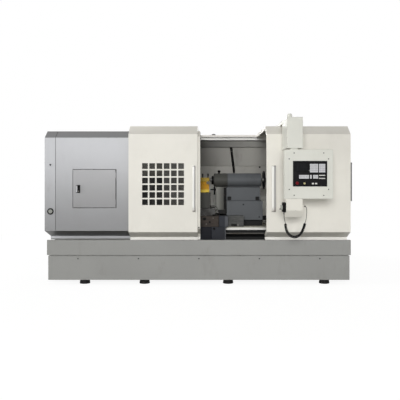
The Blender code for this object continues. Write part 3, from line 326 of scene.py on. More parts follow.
def round_off(obj, width, segments=2):
    """Rounds every sharp edge."""
    return apply_modifier(
        obj, "BEVEL", width=width, segments=segments, limit_method="ANGLE",
        angle_limit=SHARP_EDGE, face_strength_mode="FSTR_ALL",
    )


def cut(obj, *tools):
    """Cuts the tools out of the object and removes them."""
    for tool in tools:
        apply_modifier(obj, "BOOLEAN", operation="DIFFERENCE", object=tool)
        bpy.data.objects.remove(tool, do_unlink=True)
    return obj


def join(name, objects):
    """Joins objects into one mesh."""
    only(objects[0])
    for obj in objects:
        obj.select_set(True)
    bpy.ops.object.join()
    objects[0].name = name
    return objects[0]


def repeat(name, model, places):
    """Copies a model to each place, each copy with its own mesh, and joins the copies."""
    copies = []
    for place in places:
        copy = model.copy()
        copy.data = model.data.copy()
        copy.location = place
        bpy.context.scene.collection.objects.link(copy)
        copies.append(settle(copy))
    bpy.data.objects.remove(model, do_unlink=True)
    return join(name, copies)


def lean_normals(mesh, rounded):
    """Flat faces keep their own normal right up to their rounded edges, which turn from one to the next."""
    around = [[] for _ in mesh.vertices]
    for face in mesh.polygons:
        for corner in face.vertices:
            around[corner].append(face)
    turns = []
    for face in mesh.polygons:
        for corner in face.vertices:
            flat = [other for other in around[corner] if not rounded[other.index]]
            limit = math.radians(ROUNDED_DEGREES if rounded[face.index] else SMOOTH_DEGREES)
            near = [other for other in flat or around[corner] if other.normal.angle(face.normal, 0) < limit]
            turns.append(sum((other.normal * other.area for other in near), face.normal * 1e-9).normalized())
    mesh.normals_split_custom_set(turns)


def complete(obj, body, look, angle=SMOOTH_DEGREES):
    """Gives a finished piece its place in its mesh, its shading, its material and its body."""
    settle(obj)
    bpy.ops.object.shade_smooth_by_angle(angle=math.radians(angle))
    if "edge" not in obj.data.attributes:
        apply_modifier(obj, "WEIGHTED_NORMAL", weight=100, keep_sharp=True, use_face_influence=True)
    obj.data.materials.clear()
    obj.data.materials.append(look)
    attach(obj, body)
    print(obj.name, "rides on", body, "with", len(obj.data.polygons), "faces")
    return obj


# %% [markdown]
# Three kinds of screw come back all over the machine: a pan head with a cross recess on sheet metal,
# a socket head on castings, and a hexagon head on a washer. Each is modelled once, at the origin,
# looking the way that it will face, and copied to its places. A dark spot in the paint would do from far
# off, but a recess that is cut into the head keeps its shadow under any light.

# %% Screws


def pan_screw(radius, towards):
    """A domed head with a cross recess."""
    height = radius * 0.6
    head = drum("pan_screw", radius, (0, 0, 0), towards * height, 20)
    round_off(head, height * 0.6, 3)
    slot_half = radius * 0.12
    reach = radius * 0.6
    side = towards.cross(UP if abs(towards.z) < 0.5 else RIGHT)
    other = towards.cross(side)
    tools = []
    for long, short in ((side, other), (other, side)):
        corner = long * reach + short * slot_half + towards * height
        deep = long * -reach - short * slot_half + towards * height * 0.5
        low = [min(a, b) for a, b in zip(corner + towards * radius, deep)]
        high = [max(a, b) for a, b in zip(corner + towards * radius, deep)]
        tools.append(block("recess", low, high))
    return cut(head, *tools)


def socket_screw(radius, towards):
    """A round head with a hexagon socket."""
    height = radius * 1.2
    head = drum("socket_screw", radius, (0, 0, 0), towards * height, 24)
    round_off(head, radius * 0.12)
    socket = drum("socket", radius * 0.55, towards * height * 0.4, towards * height * 1.5, 6)
    return cut(head, socket)


def hex_bolt(radius, towards):
    """A hexagon head on its washer."""
    washer = drum("washer", radius * 1.25, (0, 0, 0), towards * radius * 0.25, 24)
    head = drum("hex_bolt", radius, towards * radius * 0.2, towards * radius, 6)
    step(head, towards, radius * 0.12, radius * 0.08)
    return join("hex_bolt", [head, round_off(washer, radius * 0.05, 1)])


# %% [markdown]
# Every finish is worked out from the place on the machine, so that paint, dirt and grinding marks run
# on over neighbouring faces at their true scale. Shader numbers are wrapped in a small class, which
# lets a mask be written as an ordinary sum, and every other node comes from one method.

# %% Shader helpers


class Number:
    """A number in a shader, on which Python's own operators work."""

    def __init__(self, look, socket):
        self.look = look
        self.socket = socket

    def maths(self, operation, first, second=0.0):
        made = self.look.node("Math", {"operation": operation}, {0: first, 1: second})
        return Number(self.look, made.outputs[0])

    def __add__(self, other):
        return self.maths("ADD", self, other)

    def __sub__(self, other):
        return self.maths("SUBTRACT", self, other)

    def __rsub__(self, other):
        return self.maths("SUBTRACT", other, self)

    def __mul__(self, other):
        return self.maths("MULTIPLY", self, other)

    def __abs__(self):
        return self.maths("ABSOLUTE", self)

    def __pow__(self, other):
        return self.maths("POWER", self, other)

    def larger(self, other):
        return self.maths("MAXIMUM", self, other)

    def smaller(self, other):
        return self.maths("MINIMUM", self, other)

    def wave(self):
        return self.maths("SINE", self)

    def between(self, low, high):
        """Rises softly from 0 at the first value to 1 at the second."""
        settings = {"interpolation_type": "SMOOTHSTEP"}
        sockets = {"Value": self, "From Min": low, "From Max": high}
        return Number(self.look, self.look.node("MapRange", settings, sockets).outputs[0])

    __radd__ = __add__
    __rmul__ = __mul__


class Finish:
    """A material under construction."""

    def __init__(self, name):
        self.material = bpy.data.materials.new(name)
        self.material.use_nodes = True
        self.tree = self.material.node_tree
        self.shader = self.tree.nodes["Principled BSDF"]
        self.place = self.node("TexCoord").outputs["Object"]
        parts = self.node("SeparateXYZ", {}, {0: self.place}).outputs
        self.x, self.y, self.z = (Number(self, part) for part in parts)

    def put(self, socket, value):
        """Sets a socket to a value, or links it to a number or another socket."""
        if isinstance(value, Number):
            self.tree.links.new(value.socket, socket)
        elif isinstance(value, bpy.types.NodeSocket):
            self.tree.links.new(value, socket)
        else:
            socket.default_value = value

    def node(self, kind, settings=None, sockets=None):
        """Adds a node: its settings first, and then the values or links of its sockets."""
        made = self.tree.nodes.new("ShaderNode" + kind)
        for name, value in (settings or {}).items():
            setattr(made, name, value)
        for name, value in (sockets or {}).items():
            self.put(made.inputs[name], value)
        return made

    def noise(self, scale, detail, stretch=(1.0, 1.0, 1.0), rough=0.5):
        """Cloudy noise with the given number of clouds a metre, squeezed along each axis by the stretch."""
        mapping = self.node("Mapping", {}, {"Vector": self.place, "Scale": stretch})
        sockets = {"Vector": mapping.outputs[0], "Scale": scale, "Detail": detail, "Roughness": rough}
        return Number(self, self.node("TexNoise", {}, sockets).outputs["Fac"])

    def cells(self, scale):
        """The distance to the nearest of many scattered points."""
        sockets = {"Vector": self.place, "Scale": scale}
        return Number(self, self.node("TexVoronoi", {}, sockets).outputs["Distance"])

    def edge(self):
        """1 on the rounded edges of a dressed piece."""
        return Number(self, self.node("Attribute", {"attribute_name": "edge"}).outputs["Fac"])

    def blend(self, share, first, second):
        """A colour that goes from the first to the second."""
        sockets = {0: share, 6: first, 7: second}
        return self.node("Mix", {"data_type": "RGBA"}, sockets).outputs[2]

    def bump(self, height, strength, distance):
        """Raises the surface by the height, seen in its shading only."""
        sockets = {"Height": height, "Strength": strength, "Distance": distance}
        self.put(self.shader.inputs["Normal"], self.node("Bump", {}, sockets).outputs[0])

    def set(self, **values):
        """Sets the shader's sockets: a word's underscores stand for spaces."""
        for name, value in values.items():
            self.put(self.shader.inputs[name.replace("_", " ")], value)
        return self.material


def tint(red, green, blue, share=1.0):
    """A screen colour, 0 to 255, as the linear colour that a shader reads, made lighter or darker."""
    linear = []
    for level in (red, green, blue):
        level = level / 255
        linear.append((level / 12.92 if level < 0.04045 else ((level + 0.055) / 1.055) ** 2.4) * share)
    return (*linear, 1.0)


# %% [markdown]
# Enamel on sheet metal is never one flat colour. It has a broad, faint cloudiness from the spray gun,
# a fine orange peel that breaks its gloss, grey dust where hands and swarf reach it, and small chips
# along its folded edges. One function lays these down, and each colour of enamel adds its own shades.

# %% Enamel


def enamel(name, colour, roughness, dirt, shades=(), chip=(120, 118, 112), shine=0.28):
    """Sprayed paint: clouds, dust, chipped edges and orange peel. Each shade is a mask and its colour."""
    look = Finish(name)
    red, green, blue = colour
    clouds = look.noise(1.3, 4, rough=0.6)
    fine = look.noise(26, 5, rough=0.65)
    paint = look.blend(clouds.between(0.3, 0.7), tint(red, green, blue, 0.96), tint(red, green, blue, 1.03))
    for mask, other in shades:
        paint = look.blend(mask(look), paint, tint(*other))
    dust = look.noise(5, 6, stretch=(1.0, 1.0, 0.45), rough=0.7).between(0.52, 0.8) * dirt
    paint = look.blend(dust, paint, tint(red * 0.72, green * 0.69, blue * 0.64))
    specks = look.cells(34).between(0.10, 0.05) * fine.between(0.55, 0.66) * (dirt * 1.6)
    paint = look.blend(specks, paint, tint(70, 62, 52))
    worn = look.edge() * look.noise(55, 4).between(0.56, 0.68)
    paint = look.blend(worn * 0.7, paint, tint(*chip))
    look.bump(look.noise(240, 2) + worn * -3.0, 0.10, 0.0006)
    gloss = clouds * 0.08 + dust * 0.5 + fine * 0.06 + (roughness - 0.07)
    return look.set(Base_Color=paint, Roughness=gloss + worn * 0.2, Specular_IOR_Level=shine)


# %% [markdown]
# Each coat has shades of its own. Some of them are painted light and shade: the housing's slope and
# chamfer, the guards' slope and the beam's crown are painted darker as shade, the guards' foot strip and
# the rest of the beam are painted lighter as light, and dirt lies in the gaps. A shade is a mask, a
# number that is 1 where the shade lies and 0 elsewhere. It could be painted by hand on a picture, but a
# mask worked out from the place stays sharp however near the camera comes.

# %% Coats of the housing, guards and base
STRIP_TOP = 0.590
CHAMFER_TOP = 0.684
CAP_SEAM_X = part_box("housing_end_cap")[1].x
HOUSING_DARK = (86, 85, 83)
GAP_DARK = (52, 52, 52)


def housing_foot_and_painted_shade(look):
    """The housing darkens towards its foot, its end cap a little later; its slope and chamfer get painted
    shade.
    """
    height = look.z + look.x.between(-1.84, -1.87) * 0.16
    foot = look.z.between(STRIP_TOP - 0.004, STRIP_TOP + 0.002)
    falling = height.between(1.90, 0.66) * (foot * 0.59 + 0.03)
    # painted shade: the slope under the roof and the chamfer that faces the floor are darkened as the light
    # would leave them
    slope = look.z.between(1.884, 1.890) * look.y.between(FRONT_Y + 0.225, FRONT_Y + 0.215) * 0.70
    under = look.z.between(CHAMFER_TOP, CHAMFER_TOP - 0.008) * foot
    chamfer = under * look.y.between(FRONT_Y + 0.40, FRONT_Y + 0.39) * 0.93
    return falling.larger(slope).larger(chamfer)


def gap_line(look, low, high, width):
    """1 along the outline of a rectangle in X and Z, and 0 elsewhere."""
    across = abs(look.x - (low[0] + high[0]) / 2) - (high[0] - low[0]) / 2
    upward = abs(look.z - (low[1] + high[1]) / 2) - (high[1] - low[1]) / 2
    return abs(across.larger(upward)).between(width, width * 0.3)


def leaf_gap(look):
    """Dirt gathers round the small door."""
    low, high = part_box("service_door")
    front = look.y.between(high.y + 0.02, high.y)
    return gap_line(look, (low.x, low.z), (high.x, high.z), 0.009) * front * 0.85


def cap_seam(look):
    """Dirt lies in the seam between the housing and its end cap."""
    above = look.z.between(CHAMFER_TOP, CHAMFER_TOP + 0.004)
    return abs(look.x - CAP_SEAM_X).between(0.0045, 0.002) * above * 0.8


def guard_sill_painted_light(look):
    """The foot strip of the guards is painted whiter than the sheet over it: painted light under the
    overhang.
    """
    return look.z.between(STRIP_TOP + 0.002, STRIP_TOP - 0.002)


def guard_slope_painted_shade(look):
    """The slope under the roof is painted a little darker, as shade."""
    return look.z.between(1.924, 1.930) * 0.06


def lower_box_part(look):
    """The box under the panel is a little paler than the panel."""
    return look.z.between(1.115, 1.108)


def beam_crown_painted_shade(look):
    """The beam's upper part catches more light, so it is painted greyer, as painted shade."""
    return look.z.between(2.000, 2.006)


guard_shades = [(guard_slope_painted_shade, (140, 131, 124)), (guard_sill_painted_light, (254, 252, 246))]
housing_shades = [(housing_foot_and_painted_shade, HOUSING_DARK), (leaf_gap, GAP_DARK), (cap_seam, GAP_DARK)]
guard_white = enamel("guard_white", (229, 226, 217), 0.44, 0.10, guard_shades)
arm_white = enamel("arm_white", (215, 215, 206), 0.44, 0.08, [(lower_box_part, (226, 223, 213))])
# painted light: the beam's coat is near white to make up for the light that falls off towards the back
beam_white = enamel("beam_white", (254, 253, 249), 0.44, 0.03, [(beam_crown_painted_shade, (226, 222, 216))])
housing_grey = enamel("housing_grey", (199, 200, 203), 0.42, 0.16, housing_shades)
leaf_grey = enamel("leaf_grey", (188, 188, 190), 0.42, 0.16, [(housing_foot_and_painted_shade, HOUSING_DARK)])
base_grey = enamel("base_grey", (148, 148, 145), 0.46, 0.22)
print("coats outside:", [material.name for material in bpy.data.materials][-6:])

# %% [markdown]
# Inside the machine the paint is duller, because coolant and oil reach it. Shade is painted in here
# too: the wall and its channel are darker towards the chuck, the column on its right side, and the
# castings are black in their hollows, in their gaps and under the barrel. The wall behind the saddle
# is painted paler, as light.

# %% Coats of the wall, tailstock and carriage
WALL_MIDDLE = (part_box("rear_wall")[0].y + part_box("rear_wall")[1].y) / 2
WALL_SEAM_LOW, WALL_SEAM_HIGH = 1.550, 1.565
WALL_GREY = (168, 166, 160)
POCKET_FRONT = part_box("tailstock_body")[0].y + 0.071
POCKETS_X, POCKETS_Z = 0.6085, 1.086
POCKET_OFFSET = 0.1935
POCKET_HALF = 0.0262
# painted shade: the black of the column's joint and foot
SHADE_BLACK = (14, 14, 13)


def inside(look):
    """1 in front of the middle of the rear wall."""
    return look.y.between(WALL_MIDDLE + 0.002, WALL_MIDDLE - 0.002)


def wall_left_shade_and_stains(look):
    """Above its seam the rear wall is painted darker towards the chuck, as shade, and carries coolant stains.
    """
    stains = look.noise(3.2, 5, stretch=(1.0, 1.0, 0.3), rough=0.65).between(0.48, 0.75) * 0.45
    above = look.z.between(WALL_SEAM_LOW, WALL_SEAM_HIGH)
    return (look.x.between(0.90, -0.20) * 0.62).larger(stains) * above * inside(look)


def wall_below(look):
    """Below its seam the wall is evened out to its plain grey, without the shade painted above."""
    return look.z.between(WALL_SEAM_HIGH, WALL_SEAM_LOW) * inside(look) * 0.8


def wall_foot_painted_light(look):
    """Behind the saddle it is painted paler still: painted light, where the tool post shades the wall."""
    return look.z.between(1.30, 1.22) * inside(look)


def channel_left_painted_shade(look):
    """The channel over the wall is painted darker towards the chuck, as shade."""
    return look.x.between(0.95, -0.10) * 0.80 * inside(look)


def column_side_painted_shade(look):
    """The column is painted darker on its tail side, as shade, for the light comes from the left."""
    return look.x.between(0.250, 0.330) * 0.75


def column_joint_painted_shade(look):
    """Where the column meets the tailstock a black line is painted, as the shade in the gap."""
    return look.x.between(0.336, 0.341)


def column_foot_painted_shade(look):
    """The column's foot is painted black, as the shade that it stands in."""
    return look.z.between(0.930, 0.924)


def tail_nose(look):
    """The nose of the barrel is browner with oil."""
    return look.x.between(0.400, 0.388) * look.z.between(1.235, 1.245)


def tail_hollow_shade(look):
    """Where its base is cut back and in its two pockets the tailstock is painted black, as shade in these
    hollows.
    """
    across = abs(abs(look.x - POCKETS_X) - POCKET_OFFSET).between(POCKET_HALF, POCKET_HALF - 0.001)
    upward = abs(look.z - POCKETS_Z).between(POCKET_HALF, POCKET_HALF - 0.001)
    behind = look.y.between(POCKET_FRONT, POCKET_FRONT + 0.002)
    before = look.y.between(POCKET_FRONT + 0.04, POCKET_FRONT + 0.03)
    return look.z.between(0.80, 0.79).larger(across * upward * (behind * before))


def tail_shadow_and_seam(look):
    """A dark line is painted under the barrel, as its shadow, and a fainter one where the base begins."""
    under = abs(look.z - 1.2445).between(0.006, 0.003) * look.x.between(0.352, 0.356)
    return under.larger(abs(look.z - 1.055).between(0.004, 0.002) * 0.5)


def apron_left(look):
    """The apron's left casting is nearly black."""
    return look.x.between(0.170, 0.158)


def apron_corner(look):
    """The apron's right corner is rubbed bright."""
    return look.x.between(0.338, 0.346) * 0.5


inner_grey = enamel("inner_grey", (150, 149, 144), 0.5, 0.45, [(channel_left_painted_shade, (40, 40, 37))], shine=0.16)
wall_shades = [(wall_left_shade_and_stains, (84, 82, 78)), (wall_below, WALL_GREY), (wall_foot_painted_light, (250, 249, 242))]
rear_wall_paint = enamel("rear_wall_paint", WALL_GREY, 0.5, 0.4, wall_shades, shine=0.16)
tail_shades = [(tail_nose, (74, 74, 70)), (tail_shadow_and_seam, (22, 22, 22)), (tail_hollow_shade, (12, 12, 12))]
tail_enamel = enamel("tail_enamel", (96, 99, 102), 0.5, 0.35, tail_shades, (60, 60, 60), 0.16)
column_shades = [(column_side_painted_shade, (64, 64, 60)), (column_joint_painted_shade, SHADE_BLACK), (column_foot_painted_shade, SHADE_BLACK)]
column_enamel = enamel("column_enamel", (134, 134, 128), 0.5, 0.35, column_shades, (90, 90, 84), 0.16)
apron_shades = [(apron_corner, (120, 122, 124)), (apron_left, (15, 17, 25))]
apron_enamel = enamel("apron_enamel", (46, 48, 54), 0.5, 0.25, apron_shades, (92, 94, 98), 0.12)
post_base_enamel = enamel("post_base_enamel", (62, 62, 58), 0.5, 0.35, (), (100, 98, 90), 0.14)
print("coats inside:", [material.name for material in bpy.data.materials][-6:])

# %% [markdown]
# The working parts of the lathe are metal of many kinds: ground ways, turned bars, oily slides with a
# brown film, and a tool post plated yellow. Metal shows its making in fine lines, so the bump is noise
# squeezed along one axis, and oil gathers as patches that are darker and smoother.

# %% Worked and turned metal
spindle_low, spindle_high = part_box("tailstock_barrel")
AXIS_Y = (spindle_low.y + spindle_high.y) / 2
AXIS_Z = (spindle_low.z + spindle_high.z) / 2


def metal(name, colour, film, roughness, grain, metallic, oil=(60, 48, 32)):
    """Worked metal with grinding marks along one axis and a patchy film of oil."""
    look = Finish(name)
    marks = look.noise(9, 3, stretch=grain, rough=0.7)
    patches = look.noise(8, 5, rough=0.65).between(0.42, 0.7)
    base = look.blend(marks.between(0.3, 0.7), tint(*colour, 0.82), tint(*colour, 1.06))
    base = look.blend(patches * film, base, tint(*oil))
    worn = look.edge() * look.noise(40, 3).between(0.4, 0.6)
    base = look.blend(worn * 0.5, base, tint(205, 204, 200))
    look.bump(marks + patches * 0.3, 0.18, 0.0005)
    shine = marks * 0.16 + (roughness - 0.08) + patches * (film * 0.3)
    return look.set(Base_Color=base, Roughness=shine, Metallic=metallic)


def from_axis(look):
    """The distance from the spindle's axis."""
    across = look.y - AXIS_Y
    upward = look.z - AXIS_Z
    return (across * across + upward * upward) ** 0.5


def turned_metal(name, colour, roughness):
    """Metal turned about the spindle's axis: its tool marks run round, and spread with the radius."""
    look = Finish(name)
    radius = from_axis(look)
    rings = ((look.x + radius) * 2200.0).wave()
    drift = look.noise(14, 4)
    base = look.blend(drift.between(0.3, 0.7), tint(*colour, 0.75), tint(*colour, 1.05))
    look.bump(rings * 0.5 + drift, 0.15, 0.0004)
    return look.set(Base_Color=base, Roughness=drift * 0.2 + (roughness - 0.1), Metallic=1.0)


turned_steel = turned_metal("turned_steel", (118, 118, 116), 0.42)
# painted light: the boring bar is much paler than the other turned steel, as it stands in shade behind the
# window
bar_steel_painted_light = turned_metal("bar_steel_painted_light", (214, 213, 208), 0.5)
screw_steel = metal("screw_steel", (76, 75, 72), 0.5, 0.45, (60, 2, 2), 0.5)
slide_steel = metal("slide_steel", (54, 53, 51), 0.6, 0.52, (1, 12, 12), 0.15, (32, 27, 24))
bright_screw = metal("bright_screw", (116, 114, 109), 0.35, 0.4, (8, 8, 8), 0.8)
dark_screw = metal("dark_screw", (44, 44, 46), 0.4, 0.42, (8, 8, 8), 0.8, (20, 18, 16))
print("metals:", [material.name for material in bpy.data.materials][-6:])

# %% [markdown]
# Five pieces change their finish along their length, and get a material of their own: the plated tool
# post, the saddle of three castings, the pull handles, the handwheel, and the bed with its ground ways.

# %% Finishes of single pieces
HUB_RADIUS = 0.033


def tool_post_gold():
    """Yellow plating, duller over the clamping slot and browner under it, with black screws in its top."""
    look = Finish("tool_post_gold")
    marks = look.noise(7, 4, stretch=(0.4, 6, 6), rough=0.7)
    deep = look.z.between(1.205, 1.225) * look.z.between(1.330, 1.310)
    base = look.blend(marks.between(0.3, 0.7), tint(140, 116, 34), tint(162, 140, 52))
    base = look.blend(deep, base, tint(124, 88, 0))
    base = look.blend(look.z.between(1.322, 1.330) * 0.9, base, tint(98, 80, 24))
    oil = look.noise(14, 5, rough=0.7).between(0.5, 0.75)
    base = look.blend(oil * 0.6, base, tint(70, 50, 14))
    screws = look.z.between(1.3725, 1.3735)
    base = look.blend(screws, base, tint(12, 12, 12))
    look.bump(marks, 0.15, 0.0005)
    metallic = 0.5 - screws * 0.5
    return look.set(Base_Color=base, Roughness=marks * 0.18 + 0.34, Metallic=metallic, Specular_IOR_Level=0.2)


def saddle_iron():
    """The saddle's three castings: brown with oil, blue-grey, and plain grey on the wings."""
    look = Finish("saddle_iron")
    marks = look.noise(9, 4, stretch=(1, 1, 4), rough=0.7)
    brown = look.blend(marks.between(0.3, 0.7), tint(34, 28, 24), tint(56, 48, 42))
    blue = look.blend(look.x.between(0.335, 0.352), tint(38, 41, 48), tint(74, 76, 80))
    grey = look.blend(marks.between(0.3, 0.7), tint(60, 61, 60), tint(82, 82, 80))
    base = look.blend(look.x.between(0.260, 0.264), brown, blue)
    base = look.blend(look.x.between(0.385, 0.388), base, grey)
    oil = look.noise(16, 5, rough=0.7).between(0.5, 0.72)
    base = look.blend(oil * 0.6, base, tint(34, 30, 27))
    look.bump(marks + oil * 0.4, 0.2, 0.0006)
    return look.set(Base_Color=base, Roughness=0.52 - oil * 0.12, Metallic=0.2, Specular_IOR_Level=0.2)


def handle_finish():
    """The pull handles: pale on their left side and painted grey on their right side as shade, worn at the
    foot.
    """
    look = Finish("handle_finish")
    grain = look.noise(9, 3, stretch=(8, 8, 0.4))
    left_bar = look.x.between(-0.068, -0.061) * look.x.between(0.3, 0.2)
    painted_shade_side = left_bar.larger(look.x.between(0.951, 0.959))
    base = look.blend(painted_shade_side, tint(226, 225, 220), tint(150, 149, 147))
    foot = look.z.between(1.02, 0.94) * look.noise(12, 4).between(0.2, 0.6)
    base = look.blend(foot * 0.7, base, tint(128, 120, 112))
    look.bump(grain, 0.1, 0.0004)
    return look.set(Base_Color=base, Roughness=grain * 0.15 + 0.34, Metallic=0.1)


def wheel_finish():
    """The handwheel's black rim on a bright hub."""
    look = Finish("wheel_finish")
    hub = from_axis(look).between(HUB_RADIUS + 0.0005, HUB_RADIUS - 0.0005)
    grain = look.noise(60, 3)
    base = look.blend(hub, tint(16, 16, 17), look.blend(grain, tint(84, 84, 82), tint(124, 124, 120)))
    look.bump(grain, 0.1, 0.0004)
    shine = 0.42 - hub * 0.12 + grain * 0.1
    return look.set(Base_Color=base, Roughness=shine, Metallic=hub * 0.5, Specular_IOR_Level=0.15)


def bed_iron():
    """The bed: bright ground ways on top of a dark, oily casting."""
    look = Finish("bed_iron")
    way_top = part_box("bed")[1].z
    ways = look.z.between(way_top - 0.0535, way_top - 0.0525)
    marks = look.noise(9, 3, stretch=(0.4, 30, 30), rough=0.7)
    grit = look.noise(48, 5, rough=0.7)
    top = look.z.between(way_top - 0.020, way_top - 0.016)
    ground = look.blend(marks.between(0.3, 0.7), tint(214, 213, 208), tint(232, 231, 226))
    ground = look.blend(top, ground, tint(146, 144, 132))
    oiled = look.blend(look.noise(6, 5).between(0.45, 0.75) * 0.4, ground, tint(140, 130, 108))
    cast = look.blend(grit, tint(9, 10, 10), tint(24, 24, 24))
    look.bump(marks * ways + grit * (1 - ways), 0.25, 0.0008)
    return look.set(
        Base_Color=look.blend(ways, cast, oiled),
        Roughness=0.55 - ways * 0.2 + marks * 0.1,
        Metallic=ways * 0.2,
        Specular_IOR_Level=0.2,
    )


gold_plate = tool_post_gold()
saddle_finish = saddle_iron()
handle_enamel = handle_finish()
wheel_metal = wheel_finish()
bed_finish = bed_iron()
print("single finishes:", [material.name for material in bpy.data.materials][-5:])

# %% [markdown]
# Plastics, rubber and glass finish the list. Moulded plastic has a fine spark-eroded texture, rubber is
# dull and greys with dust, and the panes are tinted so that the dark machine behind them shows through.

# %% Plastics, rubber and glass


def plastic(name, colour, roughness=0.42, texture=0.12, dust=0.12, shine=0.2):
    """Moulded plastic with a fine texture and a trace of dust."""
    look = Finish(name)
    grain = look.noise(620, 2)
    smears = look.noise(16, 5, rough=0.6)
    base = look.blend(grain, tint(*colour, 0.88), tint(*colour, 1.1))
    base = look.blend(smears.between(0.5, 0.75) * dust, base, tint(128, 124, 116))
    look.bump(grain, texture, 0.0004)
    return look.set(Base_Color=base, Roughness=smears * 0.2 + (roughness - 0.1), Specular_IOR_Level=shine)


def tinted_pane():
    """A smoke-tinted sheet, a little smeared with coolant, painted lighter at the top and on the right as the
    lit inside.
    """
    look = Finish("tinted_pane")
    smears = look.noise(7, 6, stretch=(1, 1, 0.3), rough=0.7).between(0.45, 0.8)
    lit_clear_side = look.x.between(-0.475, -0.450)
    base = look.blend(smears, tint(12, 12, 10), tint(40, 39, 34))
    # painted light: the upper rows and the clearer right side are lighter, as the lit wall behind
    base = look.blend(look.z.between(1.35, 1.44) * 0.75, base, tint(76, 74, 67))
    base = look.blend(lit_clear_side * 0.7, base, tint(84, 82, 78))
    look.bump(smears, 0.02, 0.0004)
    return look.set(
        Base_Color=base,
        Roughness=smears * 0.2 + 0.08,
        Alpha=smears * 0.08 + 0.84 - lit_clear_side * 0.36,
        Specular_IOR_Level=0.2,
    )


def dark_display():
    """A dark screen on which rows show faintly."""
    look = Finish("display_screen")
    lines = (look.z * 420.0).wave().between(0.2, 0.9)
    rows = lines * look.noise(90, 2, stretch=(1, 1, 0.1)).between(0.5, 0.6)
    base = look.blend(rows * 0.22, tint(11, 12, 15), tint(58, 64, 70))
    look.bump(look.noise(300, 2), 0.03, 0.0002)
    return look.set(Base_Color=base, Roughness=rows * 0.05 + 0.2, Specular_IOR_Level=0.12)


black_plastic = plastic("black_plastic", (12, 12, 13), 0.55, dust=0.06, shine=0.06)
face_plastic = plastic("face_plastic", (17, 17, 19), 0.55, 0.05, 0.03, 0.08)
grey_plastic = plastic("grey_plastic", (96, 97, 98))
key_silver = plastic("key_silver", (206, 206, 209), 0.4, 0.06, 0.08)
key_white = plastic("key_white", (222, 221, 216), 0.4, 0.06, 0.08)
cream_plastic = plastic("cream_plastic", (204, 194, 146), 0.38, 0.05)
dial_grey = plastic("dial_grey", (176, 178, 170), 0.45, 0.05)
lens_plastic = plastic("lens_plastic", (150, 152, 146), 0.16, 0.02, 0.2)
red_plastic = plastic("red_plastic", (104, 12, 22), 0.36, 0.05, shine=0.12)
rubber = plastic("rubber", (22, 22, 22), 0.72, 0.3, 0.2)
seal_rubber = plastic("seal_rubber", (150, 150, 148), 0.72, 0.3, 0.2)
cord_jacket = plastic("cord_jacket", (20, 20, 21), 0.5, 0.08, 0.1)
pane_glass = tinted_pane()
screen_glass = dark_display()
pendant_cord.data.materials.append(cord_jacket)
print("materials in all:", len(bpy.data.materials))

# %% [markdown]
# The solids have knife-sharp edges, and no real edge is sharp: folded sheet has a radius, castings are
# ground round, and the thin bright line on such an edge is what makes metal look solid. Each solid's
# loose triangles are merged in a copy, its edges are rounded by an amount that suits its making, and
# the new narrow faces are marked, so that the paint can chip there. The copy then stands for the solid.

# %% Rounded copies of the solids
SAME_CORNER = 0.00001
SAME_PLANE = math.radians(0.5)


def dress(node, look, width, segments=2, dissolve=True):
    """Puts a rounded copy of a solid in its place."""
    obj = bpy.data.objects.new(node + "_shape", nodes[node].data.copy())
    bpy.context.scene.collection.objects.link(obj)
    only(obj)
    bpy.ops.object.mode_set(mode="EDIT")
    bpy.ops.mesh.select_all(action="SELECT")
    bpy.ops.mesh.remove_doubles(threshold=SAME_CORNER)
    if dissolve:
        bpy.ops.mesh.dissolve_limited(angle_limit=SAME_PLANE)
    bpy.ops.object.mode_set(mode="OBJECT")
    obj.data.materials.clear()
    obj.data.materials.append(look)
    obj.data.materials.append(look)
    for face in obj.data.polygons:
        face.material_index = 0
    # the bevel gives its new faces the second material, which tells them from the old ones
    apply_modifier(
        obj, "BEVEL", width=width, segments=segments, limit_method="ANGLE",
        angle_limit=SHARP_EDGE, material=1, miter_outer="MITER_ARC",
    )
    rounded = [face.material_index == 1 for face in obj.data.polygons]
    mark = obj.data.attributes.new("edge", "FLOAT", "FACE")
    mark.data.foreach_set("value", [float(flag) for flag in rounded])
    for face in obj.data.polygons:
        face.material_index = 0
    complete(obj, home[node], look)
    lean_normals(obj.data, rounded)
    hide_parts(node)


def dress_all(names, look, width, segments=2):
    """Dresses several solids alike."""
    for name in names:
        dress(name, look, width, segments)


# %% [markdown]
# Each solid gets its finish and a radius that suits its making: 1 to 2 mm on panes, rails and
# knobs, 2 to 4 mm on folded sheet and machined parts, and 5 to 8 mm on big castings, on the feet and on
# what a hand would rest on, such as the panel and the pendant. The guard with its window and the vent
# cover keep all their faces, because merging them would leave faces with holes in them.

# %% Solids and their finishes
feet = [f"foot_{row}_{number}" for row in ("front", "rear") for number in range(1, 5)]
dress_all(["base_body", "base_front_rail"], base_grey, 0.004)
dress_all(feet, rubber, 0.006)
dress_all(["headstock_housing", "housing_end_cap"], housing_grey, 0.003)
dress("service_door", leaf_grey, 0.002)
dress("headstock_end_wall", inner_grey, 0.003)
dress("left_door", guard_white, 0.002, dissolve=False)
dress_all(["right_door", "tail_guard"], guard_white, 0.003)
dress("rear_beam", beam_white, 0.004)
dress_all(["panel_arm", "arm_head", "lower_box"], arm_white, 0.004)
dress("control_panel", arm_white, 0.006, 3)
dress("rear_channel", inner_grey, 0.003)
dress("rear_wall", rear_wall_paint, 0.003)
dress("door_rail", slide_steel, 0.001)
dress("end_vent_cover", grey_plastic, 0.002, dissolve=False)
dress_all(["left_door_handle", "right_door_handle"], handle_enamel, 0.003, 3)
dress("left_door_window", pane_glass, 0.001)
dress("control_face", face_plastic, 0.001)
dress("hand_pendant", black_plastic, 0.006, 3)
knobs = ["service_latch", "sight_glass", "quill_clamp_knob", "coolant_pipe"]
dress_all(knobs, black_plastic, 0.0015)
dress("pendant_dial", dial_grey, 0.002)
dress("stop_button", red_plastic, 0.002)
dress_all(["headstock", "tailstock_barrel"], tail_enamel, 0.005, 3)
dress("tailstock_column", column_enamel, 0.005, 3)
